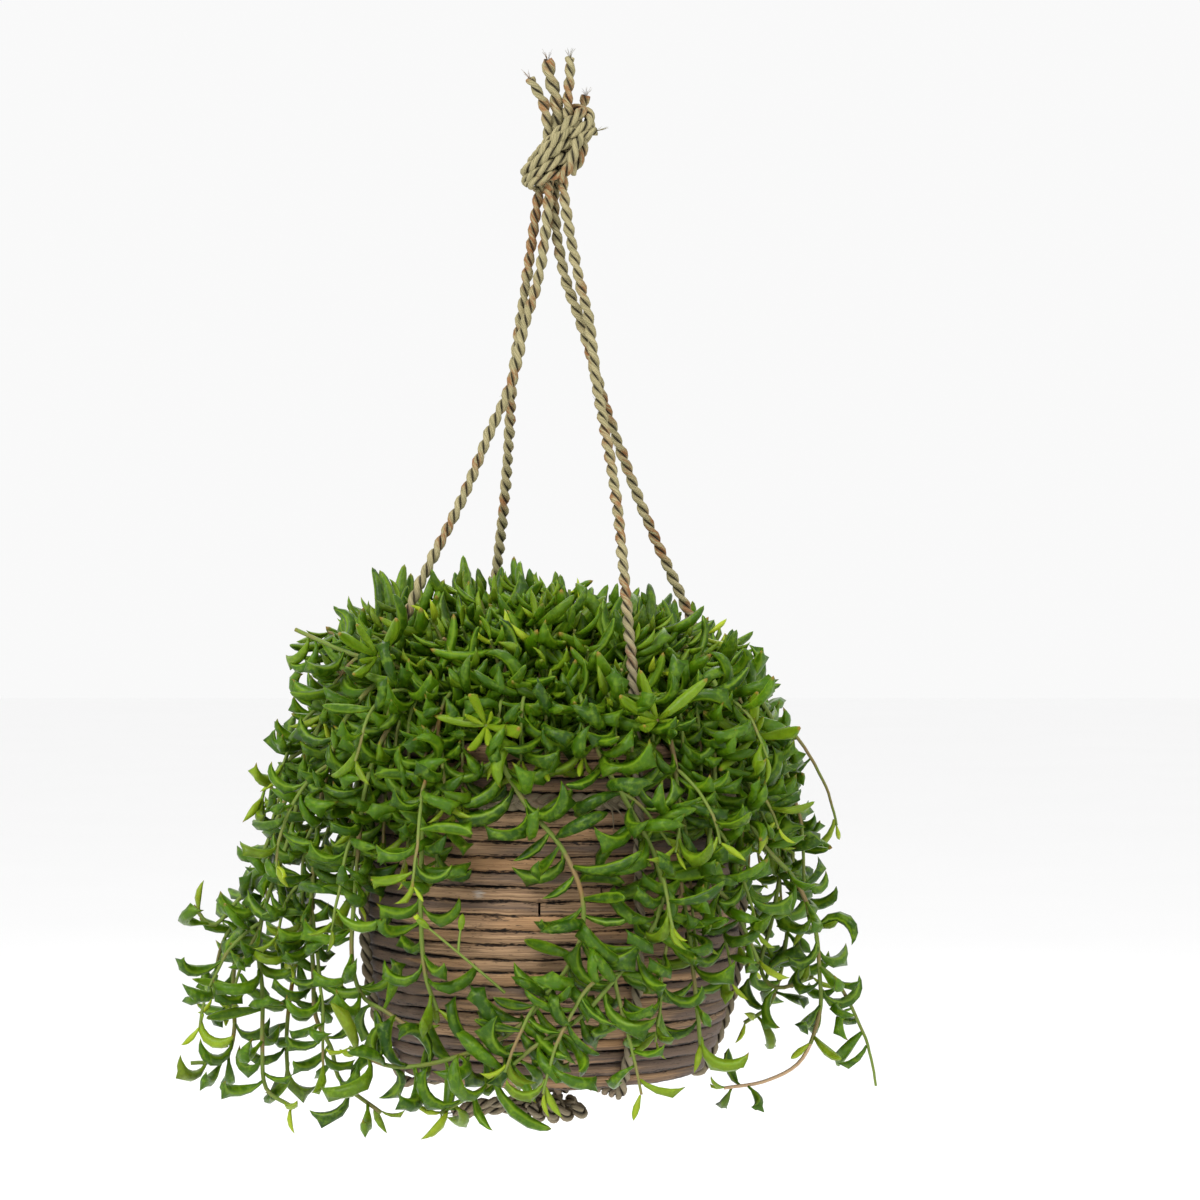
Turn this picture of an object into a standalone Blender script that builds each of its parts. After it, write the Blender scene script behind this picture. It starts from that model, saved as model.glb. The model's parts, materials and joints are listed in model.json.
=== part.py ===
"""A string of dolphins plant in a hanging basket of split cane on four seagrass ropes.

The origin is on the underside of the top knot, where the basket hangs. +Z is up, the front faces -Y and
+X is to the right of somebody who looks at the front. Sizes below are in millimetres.
"""

import math
import random

import bmesh
import bpy
from mathutils import Matrix, Vector

MM = 0.001
TOUCH = 0.3  # gap between two pieces that rest on each other
CURVE_PARTS = 16  # steps between two points of a route when it is smoothed
SHORTEST_PART = 0.2  # of the usual step, the least distance between two points of a path
OBSTACLE_STEP = 4.0  # between the balls that stand for a rope when leaves are set
STEM_BALL_STEP = 5.0

# Basket wall: rows of cane stacked from the rim down, a barrel in outline
RIM_Z = -277.0
BASE_Z = -445.0
BELLY_Z = -350.0
RIM_RADIUS = 91.0
BELLY_RADIUS = 95.3
BASE_RADIUS = 75.5
ROWS = 24
BRAID_ROW = 3  # counted from 0 at the rim
BRAID_HEIGHT = 9.0
BRAID_BULGE = 1.2
TOP_ROW_HEIGHT = 7.6
CANE_DEPTH = 6.0
CANE_ROUNDING = 1.6
RING_SEGMENTS = 20
RING_START = -64.0  # a corner of each ring faces the front rope

# Ribs inside the wall that the rows are pinned to, and the woven base
RIB_COUNT = 4
RIB_WIDTH = 8.0
RIB_THICKNESS = 2.4
RIB_STATIONS = 9
RIB_BELOW_RIM = 3.0
FIRST_RIB_ANGLE = 35.0
FLOOR_THICKNESS = 4.0

# Nursery pot and its soil
POT_BASE_RADIUS = 58.0
POT_TOP_RADIUS = 74.0
POT_LIP_RADIUS = 77.0
POT_TOP_Z = -303.0
POT_LIP_HEIGHT = 8.0
POT_WALL = 1.4
SOIL_Z = -314.0

# Ropes
ROPE_DIAMETER = 5.5
ROPE_STEP = 16.0
ROPE_BEND = math.radians(20)  # a rope's points come closer where it turns by more than this
WALL_HEIGHTS = (-273, -292, -306, -324, -344, -364, -384, -404, -421, -434)  # where a rope follows the wall
CORNER_TURNS = (0, 35, 65)  # degrees, where a rope bends round the basket's bottom edge
CORNER_SLACK = 1.0
GATHER_RADIUS = 5.6  # the ropes' distance from the middle where they enter the base knot
GATHER_Z = -458.0
GATHER_STEPS = (5.5, 4.0, 2.0, 0.0)  # they turn straight down over these last millimetres
GATHER_START = 2.2  # where they start to turn, in parts of that distance
GATHER_SAG = 0.5
UNDER_GAP = 0.2  # more than a touch, between the floor and the ropes below it
UNDER_PLACES = (0.8, 0.4)  # points on their way in, in parts of the bottom edge's radius

# Knots
TOP_KNOT_SIZE = (19.0, 16.0, 25.0)  # half of its width, depth and height before it leans
TOP_KNOT_CENTRE = (3.0, 0.0, 18.5)
TOP_KNOT_LEAN = 32.0
BASE_KNOT_SIZE = (20.0, 16.0, 8.5)
BASE_KNOT_CENTRE = (-2.0, 0.0, -464.0)
TAIL_CORNERS = 6

# Plant
STEM_DIAMETER = 2.8
STEM_CORNERS = 3
STEM_STEP = 17.0
STEM_BEND = math.radians(35)
LEAF_LENGTH = 24.0
LEAF_WIDTH = 6.0
LEAF_THICKNESS = 4.0
LEAF_FOOT = 3.0  # how long the stem is where a leaf grows from it
LEAF_ROOM = 4.5  # free space around the middle of a leaf
BELLY_REACH = 0.5  # how far out a leaf's belly and its tip are, and how far down and up, in leaf lengths
BELLY_DIP = 0.12
TIP_REACH = 0.85
TIP_RISE = 0.35
OUTWARD_PULL = 0.35  # how much a leaf of a hanging stem turns away from the basket
CROWN_OUTLINE = [
    (50.0, SOIL_Z + TOUCH),
    (55.0, -300.0),
    (62.0, -276.0),
    (64.0, -252.0),
    (57.0, -228.0),
    (38.0, -209.0),
]
CROWN_TOP_Z = -201.0
CROWN_SEGMENTS = 20
CROWN_LEAF_INSET = 6.5
CROWN_SWELL = (-2.5, 1.5)
CROWN_LEAF_LIFT = 0.5
CROWN_LEAF_SPREAD = 0.4
CROWN_LEAF_SIZES = (0.8, 1.05)  # of the usual length
STRAND_LEAF_SIZES = (0.85, 1.1)

# Each rope: the angle at which it goes down the basket, from +X towards +Y, and its way down to there
ROPES = {
    "rope_front": (
        -64.0,
        [(5.6, -3, 0), (8.6, -3.2, -20), (13.7, -3.5, -46), (19, -4, -68), (22.3, -8, -98),
         (27, -20, -124), (33, -39, -163), (37, -61, -207), (40.5, -79, -248)],
    ),
    "rope_left": (
        -161.0,
        [(-1.5, -3, 0), (-3, -3.6, -20), (-7, -4, -46), (-13.5, -4, -68), (-20.5, -6, -98),
         (-32, -11, -125), (-46, -16, -159), (-67, -23.5, -202), (-82, -28.5, -240)],
    ),
    "rope_back": (
        113.0,
        [(-6.6, 3, 0), (-9.4, 3.1, -20), (-13, 3.3, -46), (-17, 3.6, -73), (-20, 6, -97),
         (-22, 18, -122), (-25, 38, -157), (-30, 60, -197), (-34.5, 77, -240)],
    ),
    "rope_right": (
        10.0,
        [(1, 3, 0), (2, 3.1, -20), (7, 3.2, -46), (14.5, 3.2, -67), (24, 3.8, -100),
         (33, 5.4, -127), (47, 8, -164), (66, 12, -207), (82, 14.5, -243)],
    ),
}

# The short rope ends that stand up out of the top knot
TOP_TAILS = [
    [(0, -3, 26), (-4, -4, 42), (-8, -5, 50), (-11, -5, 56)],
    [(4, 1, 28), (2, 0, 46), (-1, -1, 56), (-2, -1, 67)],
    [(8, -2, 28), (8, -2, 46), (9, -2, 56), (9, -2, 67)],
    [(10, 7, 26), (14, 9, 38), (16, 10, 44), (17, 10, 49)],
]
BASE_TAILS = [
    [(-6, -4, -463), (-24, -6, -462), (-38, -8, -463), (-51, -10, -467)],
    [(-4, 6, -465), (-20, 5, -467), (-34, 4, -468), (-46, 3, -470)],
]

# Trailing stems, each from the soil, over the rim and down, along points on its way
STRANDS = [
    [(-24, -62, -300), (-30, -84, -266), (-24, -104, -282), (-10, -111, -305), (6, -114, -324),
     (16, -115, -348), (14, -114, -371), (0, -112, -394), (-20, -110, -414), (-50, -104, -427),
     (-76, -96, -431), (-97, -88, -423)],
    [(20, -64, -300), (18, -86, -264), (26, -105, -284), (40, -109, -308), (51, -109, -330),
     (54, -109, -350), (46, -113, -368), (30, -118, -388), (14, -121, -405), (-8, -121, -419),
     (-26, -117, -435), (-52, -108, -452)],
    [(40, -53, -300), (52, -74, -262), (60, -91, -282), (62, -97, -310), (63, -97, -340),
     (67, -94, -365), (70, -91, -392), (73, -87, -422)],
    [(53, -42, -300), (68, -60, -256), (78, -73, -272), (80, -81, -298), (77, -88, -325),
     (80, -88, -344), (90, -80, -357), (102, -62, -384)],
    [(60, -27, -300), (76, -46, -246), (86, -60, -264), (90, -66, -290), (96, -65, -312),
     (107, -58, -330), (121, -46, -346), (131, -38, -369), (134, -32, -395), (134, -30, -414),
     (125, -32, -437), (107, -36, -447), (86, -40, -450)],
    [(65, -12, -300), (82, -14, -244), (106, -14, -260), (118, -8, -292), (118, 0, -330),
     (112, 4, -370), (106, 0, -394), (114, -8, -404), (132, -12, -398)],
    [(60, 27, -300), (80, 36, -242), (105, 42, -262), (120, 42, -296), (124, 36, -340),
     (120, 26, -385), (112, 16, -414), (98, 10, -424)],
    [(-38, -55, -300), (-50, -74, -258), (-56, -90, -280), (-60, -96, -306), (-62, -97, -350),
     (-60, -97, -385), (-54, -96, -404)],
    [(-54, -38, -300), (-76, -56, -248), (-98, -63, -262), (-110, -60, -292), (-116, -52, -330),
     (-119, -46, -365), (-118, -42, -390), (-117, -40, -414), (-109, -42, -430), (-104, -44, -446),
     (-84, -48, -461)],
    [(-46, -48, -300), (-64, -68, -254), (-80, -79, -272), (-90, -78, -300), (-95, -73, -346),
     (-97, -71, -380), (-92, -75, -399), (-80, -83, -406), (-68, -89, -413)],
    [(-64, -11, -300), (-85, -8, -238), (-108, -8, -254), (-124, -12, -290), (-131, -18, -324),
     (-144, -22, -362), (-147, -22, -383), (-145, -22, -405), (-145, -24, -431), (-143, -26, -452),
     (-130, -28, -461)],
    [(-65, 6, -300), (-84, 12, -236), (-106, 14, -248), (-122, 12, -280), (-134, 8, -315),
     (-144, 4, -343), (-160, 0, -361), (-172, -2, -373), (-182, -2, -363)],
    [(-60, 25, -300), (-78, 36, -236), (-104, 42, -246), (-124, 42, -278), (-140, 36, -316),
     (-154, 28, -352), (-162, 22, -385), (-164, 18, -410), (-163, 16, -428), (-168, 14, -443),
     (-185, 12, -445)],
    [(-49, 43, -300), (-64, 62, -240), (-84, 72, -254), (-104, 70, -290), (-118, 58, -330),
     (-128, 42, -370), (-134, 26, -405), (-136, 14, -430), (-135, 8, -452)],
    [(-61, -25, -300), (-74, -40, -262), (-86, -47, -240), (-104, -46, -232), (-127, -38, -222)],
]

# Trailing stems at the back: the angle of each, and the height of its tip
BACK_STRANDS = [(38.0, -405.0), (57.0, -440.0), (76.0, -420.0), (94.0, -450.0), (127.0, -430.0)]
# Their way over the rim: degrees further round, distance from the axis and height
BACK_OVER_RIM = [(0, 65, -300), (2, 88, -246), (0, 108, -258), (-2, 118, -285)]
# Their way down from there: degrees further round, distance from the axis and share of the way to the tip
BACK_DOWN = [(-5, 122, 0.4), (-4, 119, 0.75), (3, 114, 1.0)]

COLOURS = {
    "cane": ((0.36, 0.25, 0.17), 0.75),
    "seagrass": ((0.42, 0.38, 0.25), 0.9),
    "plastic": ((0.05, 0.035, 0.03), 0.45),
    "soil": ((0.045, 0.03, 0.02), 1.0),
    "leaf": ((0.09, 0.24, 0.04), 0.4),
}


def material(name):
    """The named finish, made once."""
    if name in bpy.data.materials:
        return bpy.data.materials[name]
    colour, roughness = COLOURS[name]
    made = bpy.data.materials.new(name)
    made.use_nodes = True
    shader = made.node_tree.nodes["Principled BSDF"]
    shader.inputs["Base Color"].default_value = (*colour, 1.0)
    shader.inputs["Roughness"].default_value = roughness
    shader.inputs["Metallic"].default_value = 0.0
    return made


def add_object(name, data, finish):
    """Put a mesh or curve in the scene under its name, with its finish."""
    piece = bpy.data.objects.new(name, data)
    bpy.context.scene.collection.objects.link(piece)
    piece.data.materials.append(material(finish))
    return piece


def mesh_object(name, bm, finish, smooth_angle=40.0):
    """Turn a bmesh that is in millimetres into a smooth shaded object in metres."""
    bmesh.ops.scale(bm, vec=(MM, MM, MM), verts=bm.verts)
    bmesh.ops.recalc_face_normals(bm, faces=bm.faces)
    mesh = bpy.data.meshes.new(name)
    bm.to_mesh(mesh)
    bm.free()
    mesh.shade_smooth()
    mesh.set_sharp_from_angle(angle=math.radians(smooth_angle))
    return add_object(name, mesh, finish)


def turned(name, outline, finish, closed):
    """Spin an outline of (radius, height) points around the upright axis."""
    bm = bmesh.new()
    points = [bm.verts.new(on_circle(RING_START, radius, height)) for radius, height in outline]
    for start, end in zip(points, points[1:]):
        bm.edges.new((start, end))
    if closed:
        bm.edges.new((points[-1], points[0]))
    bmesh.ops.spin(
        bm,
        geom=bm.verts[:] + bm.edges[:],
        cent=(0, 0, 0),
        axis=(0, 0, 1),
        angle=math.tau,
        steps=RING_SEGMENTS,
        use_merge=True,
    )
    bmesh.ops.remove_doubles(bm, verts=bm.verts, dist=0.01)
    return mesh_object(name, bm, finish)


def on_circle(angle, radius, height):
    """A point at an angle in degrees and a distance from the upright axis."""
    turn = math.radians(angle)
    return Vector((radius * math.cos(turn), radius * math.sin(turn), height))


def smooth_curve(points):
    """Many points on a smooth curve through the given points."""
    points = [Vector(p) for p in points]
    ends = [2 * points[0] - points[1], *points, 2 * points[-1] - points[-2]]
    fine = []
    for before, start, end, after in zip(ends, ends[1:], ends[2:], ends[3:]):
        for part in range(CURVE_PARTS):
            t = part / CURVE_PARTS
            fine.append(
                0.5 * (2 * start + (end - before) * t + (2 * before - 5 * start + 4 * end - after) * t**2
                       + (3 * start - before - 3 * end + after) * t**3)
            )
    fine.append(points[-1])
    return fine


def smooth_path(points, step, bend=math.tau):
    """Points on the smooth curve, a step apart, or closer where it turns by more than the bend."""
    fine = smooth_curve(points)
    path = [fine[0]]
    length = 0.0
    heading = fine[1] - fine[0]
    for before, place in zip(fine, fine[1:-1]):
        length += (place - before).length
        turned_by = heading.angle(place - before, 0.0)
        if length >= step or (turned_by > bend and length > step * SHORTEST_PART):
            path.append(place)
            length = 0.0
            heading = place - before
    if (fine[-1] - path[-1]).length < step * SHORTEST_PART and len(path) > 2:
        path.pop()
    path.append(fine[-1])
    return path


def barrel_radius(height):
    """The basket's outer radius at a height: a slow curve above the belly and a fuller one below."""
    if height > BELLY_Z:
        share = (height - BELLY_Z) / (RIM_Z - BELLY_Z)
        return BELLY_RADIUS - (BELLY_RADIUS - RIM_RADIUS) * share**2
    share = (BELLY_Z - height) / (BELLY_Z - BASE_Z)
    return BELLY_RADIUS - (BELLY_RADIUS - BASE_RADIUS) * share**3


def row_edges():
    """The top and bottom height of each row; the rows get evenly thinner from the rim down."""
    cane_rows = ROWS - 1
    mean = (RIM_Z - BASE_Z - BRAID_HEIGHT) / cane_rows
    edges = []
    top = RIM_Z
    cane = 0
    for row in range(ROWS):
        height = BRAID_HEIGHT
        if row != BRAID_ROW:
            height = mean + (TOP_ROW_HEIGHT - mean) * (1 - 2 * cane / (cane_rows - 1))
            cane += 1
        edges.append((top, top - height))
        top -= height
    return edges


def build_rows():
    """Hoops of split cane, flat inside and rounded outside, and the braided ring near the rim."""
    hoop = 0
    for row, (top, bottom) in enumerate(row_edges()):
        top -= TOUCH / 2
        bottom += TOUCH / 2
        middle = (top + bottom) / 2
        outer = barrel_radius(middle)
        inner = outer - CANE_DEPTH
        if row == BRAID_ROW:
            outer += BRAID_BULGE
            shoulder = (top - bottom) / 4
            outline = [(inner, middle - shoulder), ((inner + outer) / 2, bottom), (outer, middle - shoulder),
                       (outer, middle + shoulder), ((inner + outer) / 2, top), (inner, middle + shoulder)]
            turned("braided_ring", outline, "seagrass", closed=True)
            continue
        hoop += 1
        outline = [(inner, bottom), (outer - CANE_ROUNDING, bottom), (outer, middle),
                   (outer - CANE_ROUNDING, top), (inner, top)]
        turned(f"cane_hoop_{hoop:02d}", outline, "cane", closed=True)


def flat_side(radius):
    """How far the middle of a hoop's straight side is from the axis."""
    return radius * math.cos(math.pi / RING_SEGMENTS)


def build_floor():
    """The basket's floor, inside the lowest hoop and on the ropes that cross below it."""
    radius = flat_side(barrel_radius(row_edges()[-1][1]) - CANE_DEPTH) - TOUCH
    top = BASE_Z + FLOOR_THICKNESS
    turned("basket_floor", [(0, BASE_Z), (radius, BASE_Z), (radius, top), (0, top)], "cane", closed=False)


def build_ribs():
    """Upright splints that stand on the floor inside the wall and follow its curve."""
    foot = BASE_Z + FLOOR_THICKNESS + TOUCH
    head = RIM_Z - RIB_BELOW_RIM
    row_height = row_edges()[-1][0] - row_edges()[-1][1]
    for number in range(RIB_COUNT):
        turn = Matrix.Rotation(math.radians(FIRST_RIB_ANGLE + 360 / RIB_COUNT * number), 4, "Z")
        bm = bmesh.new()
        rings = []
        for station in range(RIB_STATIONS):
            height = foot + (head - foot) * station / (RIB_STATIONS - 1)
            narrow = min(barrel_radius(height - row_height), barrel_radius(height + row_height))
            outer = flat_side(narrow - CANE_DEPTH) - TOUCH
            corners = [(outer, -RIB_WIDTH / 2), (outer, RIB_WIDTH / 2),
                       (outer - RIB_THICKNESS, RIB_WIDTH / 2), (outer - RIB_THICKNESS, -RIB_WIDTH / 2)]
            rings.append([bm.verts.new(turn @ Vector((x, y, height))) for x, y in corners])
        join_rings(bm, rings)
        mesh_object(f"rib_{number + 1}", bm, "cane")


def join_rings(bm, rings):
    """Skin a row of rings of the same number of corners, and close both ends."""
    sides = {}
    corners = len(rings[0])
    for at, (low, high) in enumerate(zip(rings, rings[1:])):
        for side in range(corners):
            after = (side + 1) % corners
            sides[at, side] = bm.faces.new((low[side], low[after], high[after], high[side]))
    bm.faces.new(rings[0][::-1])
    bm.faces.new(rings[-1])
    return sides


def build_pot():
    """The plastic nursery pot on the floor, open at the top, and the soil that fills it."""
    foot = BASE_Z + FLOOR_THICKNESS + TOUCH
    lip_z = POT_TOP_Z - POT_LIP_HEIGHT
    slope = (POT_TOP_RADIUS - POT_BASE_RADIUS) / (POT_TOP_Z - foot)

    def wall(height):
        return POT_BASE_RADIUS + slope * (height - foot)

    inside_foot = foot + POT_WALL
    pot = [(0, foot), (wall(foot), foot), (wall(lip_z), lip_z), (POT_LIP_RADIUS, lip_z),
           (POT_LIP_RADIUS, POT_TOP_Z), (wall(POT_TOP_Z) - POT_WALL, POT_TOP_Z),
           (wall(inside_foot) - POT_WALL, inside_foot), (0, inside_foot)]
    turned("nursery_pot", pot, "plastic", closed=False)
    soil_foot = inside_foot + TOUCH
    room = POT_WALL + TOUCH
    soil = [(0, soil_foot), (wall(soil_foot) - room, soil_foot), (wall(SOIL_Z) - room, SOIL_Z), (0, SOIL_Z)]
    turned("soil", soil, "soil", closed=False)


def rope_route(angle, upper):
    """The whole way of a rope: down to the rim, down the wall, round the bottom edge and to the base knot."""
    clear = ROPE_DIAMETER / 2 + TOUCH
    route = list(upper)
    for height in WALL_HEIGHTS:
        bulge = BRAID_BULGE if height > row_edges()[BRAID_ROW + 1][1] else TOUCH
        route.append(on_circle(angle, barrel_radius(height) + bulge + clear, height))
    lowest_top, lowest_bottom = row_edges()[-1]
    edge = barrel_radius((lowest_top + lowest_bottom) / 2) - CANE_ROUNDING
    for turn in CORNER_TURNS:
        reach = clear + CORNER_SLACK
        sideways = reach * math.cos(math.radians(turn))
        route.append(on_circle(angle, edge + sideways, BASE_Z - reach * math.sin(math.radians(turn))))
    under = BASE_Z - clear - UNDER_GAP
    for share in UNDER_PLACES:
        route.append(on_circle(angle, share * edge, under))
    route.append(on_circle(angle, GATHER_START * GATHER_RADIUS, under - GATHER_SAG))
    for above in GATHER_STEPS:
        route.append(on_circle(angle, GATHER_RADIUS, GATHER_Z + above))
    return route


def build_rope(name, route):
    """A round rope along a smooth curve."""
    path = smooth_path(route, ROPE_STEP, ROPE_BEND)
    data = bpy.data.curves.new(name, "CURVE")
    data.dimensions = "3D"
    data.bevel_depth = ROPE_DIAMETER / 2 * MM
    data.bevel_resolution = 2
    data.use_fill_caps = True
    spline = data.splines.new("POLY")
    spline.points.add(len(path) - 1)
    for point, place in zip(spline.points, path):
        point.co = (*(place * MM), 1.0)
    spline.use_smooth = True
    return add_object(name, data, "seagrass")


def tube(bm, path, radius, corners):
    """Skin a tube along a path, and return its side faces by place and side."""
    rings = []
    side_way = Vector((0, 0, 1))
    level_way = Vector((0.6, 0.8, 0))
    nearly_parallel = 0.2
    for at, place in enumerate(path):
        forward = (path[min(at + 1, len(path) - 1)] - path[max(at - 1, 0)]).normalized()
        across = forward.cross(side_way)
        if across.length < nearly_parallel:
            across = forward.cross(level_way)
        across.normalize()
        side_way = across.cross(forward)
        ring = []
        for corner in range(corners):
            turn = math.tau * corner / corners
            ring.append(bm.verts.new(place + radius * (math.cos(turn) * across + math.sin(turn) * side_way)))
        rings.append(ring)
    return join_rings(bm, rings)


def build_knot(name, size, centre, lean, seat, tails):
    """A rounded knot with a flat where the ropes enter it, and its loose ends joined to it."""
    bm = bmesh.new()
    turn = Matrix.Rotation(math.radians(lean), 4, "Y")
    placed = Matrix.Translation(centre) @ turn @ Matrix.Diagonal((*size, 1))
    bmesh.ops.create_icosphere(bm, subdivisions=2, radius=1.0, matrix=placed)
    below = seat > centre[2]
    for vert in bm.verts:
        if below:
            vert.co.z = min(vert.co.z, seat)
        else:
            vert.co.z = max(vert.co.z, seat)
    knot = mesh_object(name, bm, "seagrass")
    for tail in tails:
        bm = bmesh.new()
        tube(bm, smooth_path(tail, ROPE_STEP / 2), ROPE_DIAMETER / 2, TAIL_CORNERS)
        end = mesh_object(f"{name}_tail", bm, "seagrass")
        end.hide_render = True
        end.display_type = "WIRE"
        join = knot.modifiers.new("tail", "BOOLEAN")
        join.operation = "UNION"
        join.object = end


def back_route(angle, tip_z):
    """The way of a trailing stem at the back, from the soil over the rim to its tip."""
    route = [on_circle(angle + further, radius, height) for further, radius, height in BACK_OVER_RIM]
    start_z = BACK_OVER_RIM[-1][2]
    for further, radius, share in BACK_DOWN:
        route.append(on_circle(angle + further, radius, start_z + share * (tip_z - start_z)))
    return route


def foot_of(route):
    """Where a stem comes out of the soil, straight below the first point of its route."""
    return Vector((route[0][0], route[0][1], SOIL_Z + TOUCH))


def far_enough(places, obstacles, gap):
    """Whether all places are clear of every obstacle, each a point with a radius."""
    for place in places:
        for centre, radius in obstacles:
            if (place - centre).length < radius + gap:
                return False
    return True


def crown_radius(height):
    """How far the crown reaches from the axis at a height."""
    outline = [*CROWN_OUTLINE, (0.0, CROWN_TOP_Z)]
    for (low, start), (high, end) in zip(outline, outline[1:]):
        if start <= height <= end:
            return low + (high - low) * (height - start) / (end - start)
    return 0.0


def in_the_open(places, gap):
    """Whether all places are clear of the wall, the pot, its soil and the crown."""
    for place in places:
        away = math.hypot(place.x, place.y)
        if BASE_Z - ROPE_DIAMETER - gap < place.z < RIM_Z + gap and away < barrel_radius(place.z) + gap:
            return False
        if away < crown_radius(place.z) + gap:
            return False
    return True


def leaf_line(base, way, length):
    """The belly and the tip of a crescent leaf: it dips in the middle, and its tip curves up."""
    up = Vector((0, 0, length))
    return base + way * length * BELLY_REACH - BELLY_DIP * up, base + way * length * TIP_REACH + TIP_RISE * up


def grow_leaf(bm, face, way, length):
    """Pull a fat crescent leaf out of a small face: out to its belly, then up to a pointed tip."""
    middle = face.calc_center_median()
    belly, tip = leaf_line(middle, way, length)
    side = way.cross(Vector((0, 0, 1))).normalized()
    lift = side.cross(way)
    pulled = bmesh.ops.extrude_discrete_faces(bm, faces=[face])["faces"][0]
    for vert in pulled.verts:
        offset = vert.co - middle
        across = math.copysign(LEAF_WIDTH / 2, offset.dot(side))
        above = math.copysign(LEAF_THICKNESS / 2, offset.dot(lift))
        vert.co = belly + across * side + above * lift
    poked = bmesh.ops.poke(bm, faces=[pulled])
    poked["verts"][0].co = tip


def leaf_places(base, way, length):
    """Points along the middle of such a leaf, to test what it would touch."""
    belly, tip = leaf_line(base, way, length)
    shares = (0.4, 0.7, 1.0)
    return [base.lerp(belly, share) for share in shares] + [belly.lerp(tip, share) for share in shares]


def build_crown(obstacles, dice):
    """The dense heart of the plant: a low dome of crowded shoots with leaves all over it."""
    bm = bmesh.new()
    rings = []
    for number, (radius, height) in enumerate(CROWN_OUTLINE):
        ring = []
        for corner in range(CROWN_SEGMENTS):
            angle = 360 * (corner + 0.5 * (number % 2)) / CROWN_SEGMENTS
            swell = 0 if number == 0 else dice.uniform(*CROWN_SWELL)
            ring.append(bm.verts.new(on_circle(angle, radius + swell, height)))
        rings.append(ring)
    sides = join_rings(bm, rings)
    top = bm.faces[:][-1]
    poked = bmesh.ops.poke(bm, faces=[top])
    poked["verts"][0].co.z = CROWN_TOP_Z
    bmesh.ops.recalc_face_normals(bm, faces=bm.faces)
    grown = []
    for (ring, corner), face in sides.items():
        if ring == 0 or (ring + corner) % 2:
            continue
        away = face.normal.normalized()
        aside = [dice.uniform(-CROWN_LEAF_SPREAD, CROWN_LEAF_SPREAD) for _ in range(2)]
        way = (away + Vector((*aside, CROWN_LEAF_LIFT))).normalized()
        length = LEAF_LENGTH * dice.uniform(*CROWN_LEAF_SIZES)
        base = face.calc_center_median()
        places = leaf_places(base, way, length)
        if far_enough(places, obstacles, LEAF_ROOM) and far_enough(places[1:], grown, LEAF_ROOM):
            bmesh.ops.inset_individual(bm, faces=[face], thickness=CROWN_LEAF_INSET)
            grow_leaf(bm, face, way, length)
            grown += [(place, LEAF_WIDTH / 2) for place in places]
    mesh_object("crown", bm, "leaf")
    return grown


def build_strand(name, route, obstacles, dice):
    """A trailing stem with its fleshy leaves, which curve up from the stem on all sides."""
    path = smooth_path([foot_of(route), *route], STEM_STEP, STEM_BEND)
    rings_at = [path[0]]
    for before, place, after in zip(path, path[1:], path[2:]):
        half = (after - before).normalized() * LEAF_FOOT / 2
        rings_at += [place - half, place + half]
    rings_at.append(path[-1])
    bm = bmesh.new()
    sides = tube(bm, rings_at, STEM_DIAMETER / 2, STEM_CORNERS)
    bmesh.ops.recalc_face_normals(bm, faces=bm.faces)
    own = []
    for at in range(2, len(path) - 1):
        faces = [sides[2 * at - 1, side] for side in range(STEM_CORNERS)]
        turn = Vector((dice.uniform(-1, 1), dice.uniform(-1, 1), 0.4))
        faces.sort(key=lambda face: face.normal.dot(turn), reverse=True)
        stem_balls = [(place, STEM_DIAMETER / 2) for n, place in enumerate(path) if n < at or n > at + 1]
        for face in faces:
            base = face.calc_center_median()
            out = Vector((base.x, base.y, 0)).normalized()
            way = (face.normal + OUTWARD_PULL * out).normalized()
            length = LEAF_LENGTH * dice.uniform(*STRAND_LEAF_SIZES)
            places = leaf_places(base, way, length)
            clear = far_enough(places[1:], obstacles + own + stem_balls, LEAF_ROOM)
            if clear and in_the_open(places[1:], LEAF_ROOM):
                grow_leaf(bm, face, way, length)
                own += [(place, LEAF_WIDTH / 2) for place in places]
                break
    mesh_object(name, bm, "leaf")
    return own


def main():
    for old in list(bpy.data.objects):
        bpy.data.objects.remove(old)
    dice = random.Random(11)
    build_rows()
    build_floor()
    build_ribs()
    build_pot()
    obstacles = []
    for name, (angle, upper) in ROPES.items():
        route = rope_route(angle, upper)
        build_rope(name, route)
        obstacles += [(place, ROPE_DIAMETER / 2) for place in smooth_path(route, OBSTACLE_STEP)]
    build_knot("top_knot", TOP_KNOT_SIZE, TOP_KNOT_CENTRE, TOP_KNOT_LEAN, TOUCH, TOP_TAILS)
    build_knot("base_knot", BASE_KNOT_SIZE, BASE_KNOT_CENTRE, 0, GATHER_Z - 2 * TOUCH, BASE_TAILS)
    routes = STRANDS + [back_route(angle, tip_z) for angle, tip_z in BACK_STRANDS]
    stems = [smooth_path([foot_of(route), *route], STEM_BALL_STEP) for route in routes]
    stem_balls = [[(place, STEM_DIAMETER / 2) for place in stem] for stem in stems]
    all_stems = [ball for balls in stem_balls for ball in balls]
    leaves = build_crown(obstacles + all_stems, dice)
    for number, route in enumerate(routes):
        others = [ball for at, balls in enumerate(stem_balls) if at != number for ball in balls]
        leaves += build_strand(f"strand_{number + 1:02d}", route, obstacles + others + leaves, dice)


main()
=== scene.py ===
# %% [markdown]
# # A string of dolphins in a hanging cane basket
# This lesson builds a hanging plant in Blender from code. The real thing is a plastic nursery pot that
# stands in a basket of split cane. Four twisted seagrass ropes run under the basket, and meet in a knot
# above it and in another one below it.
#
# First the imported solids are loaded. Each piece made here stands for one or more of them, so it stays
# exactly where the solid is. The solids are measured once.

# %% Load the frame
import json
import math
import random

import bmesh
import bpy
import numpy as np
from mathutils import Matrix, Vector, noise

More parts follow.
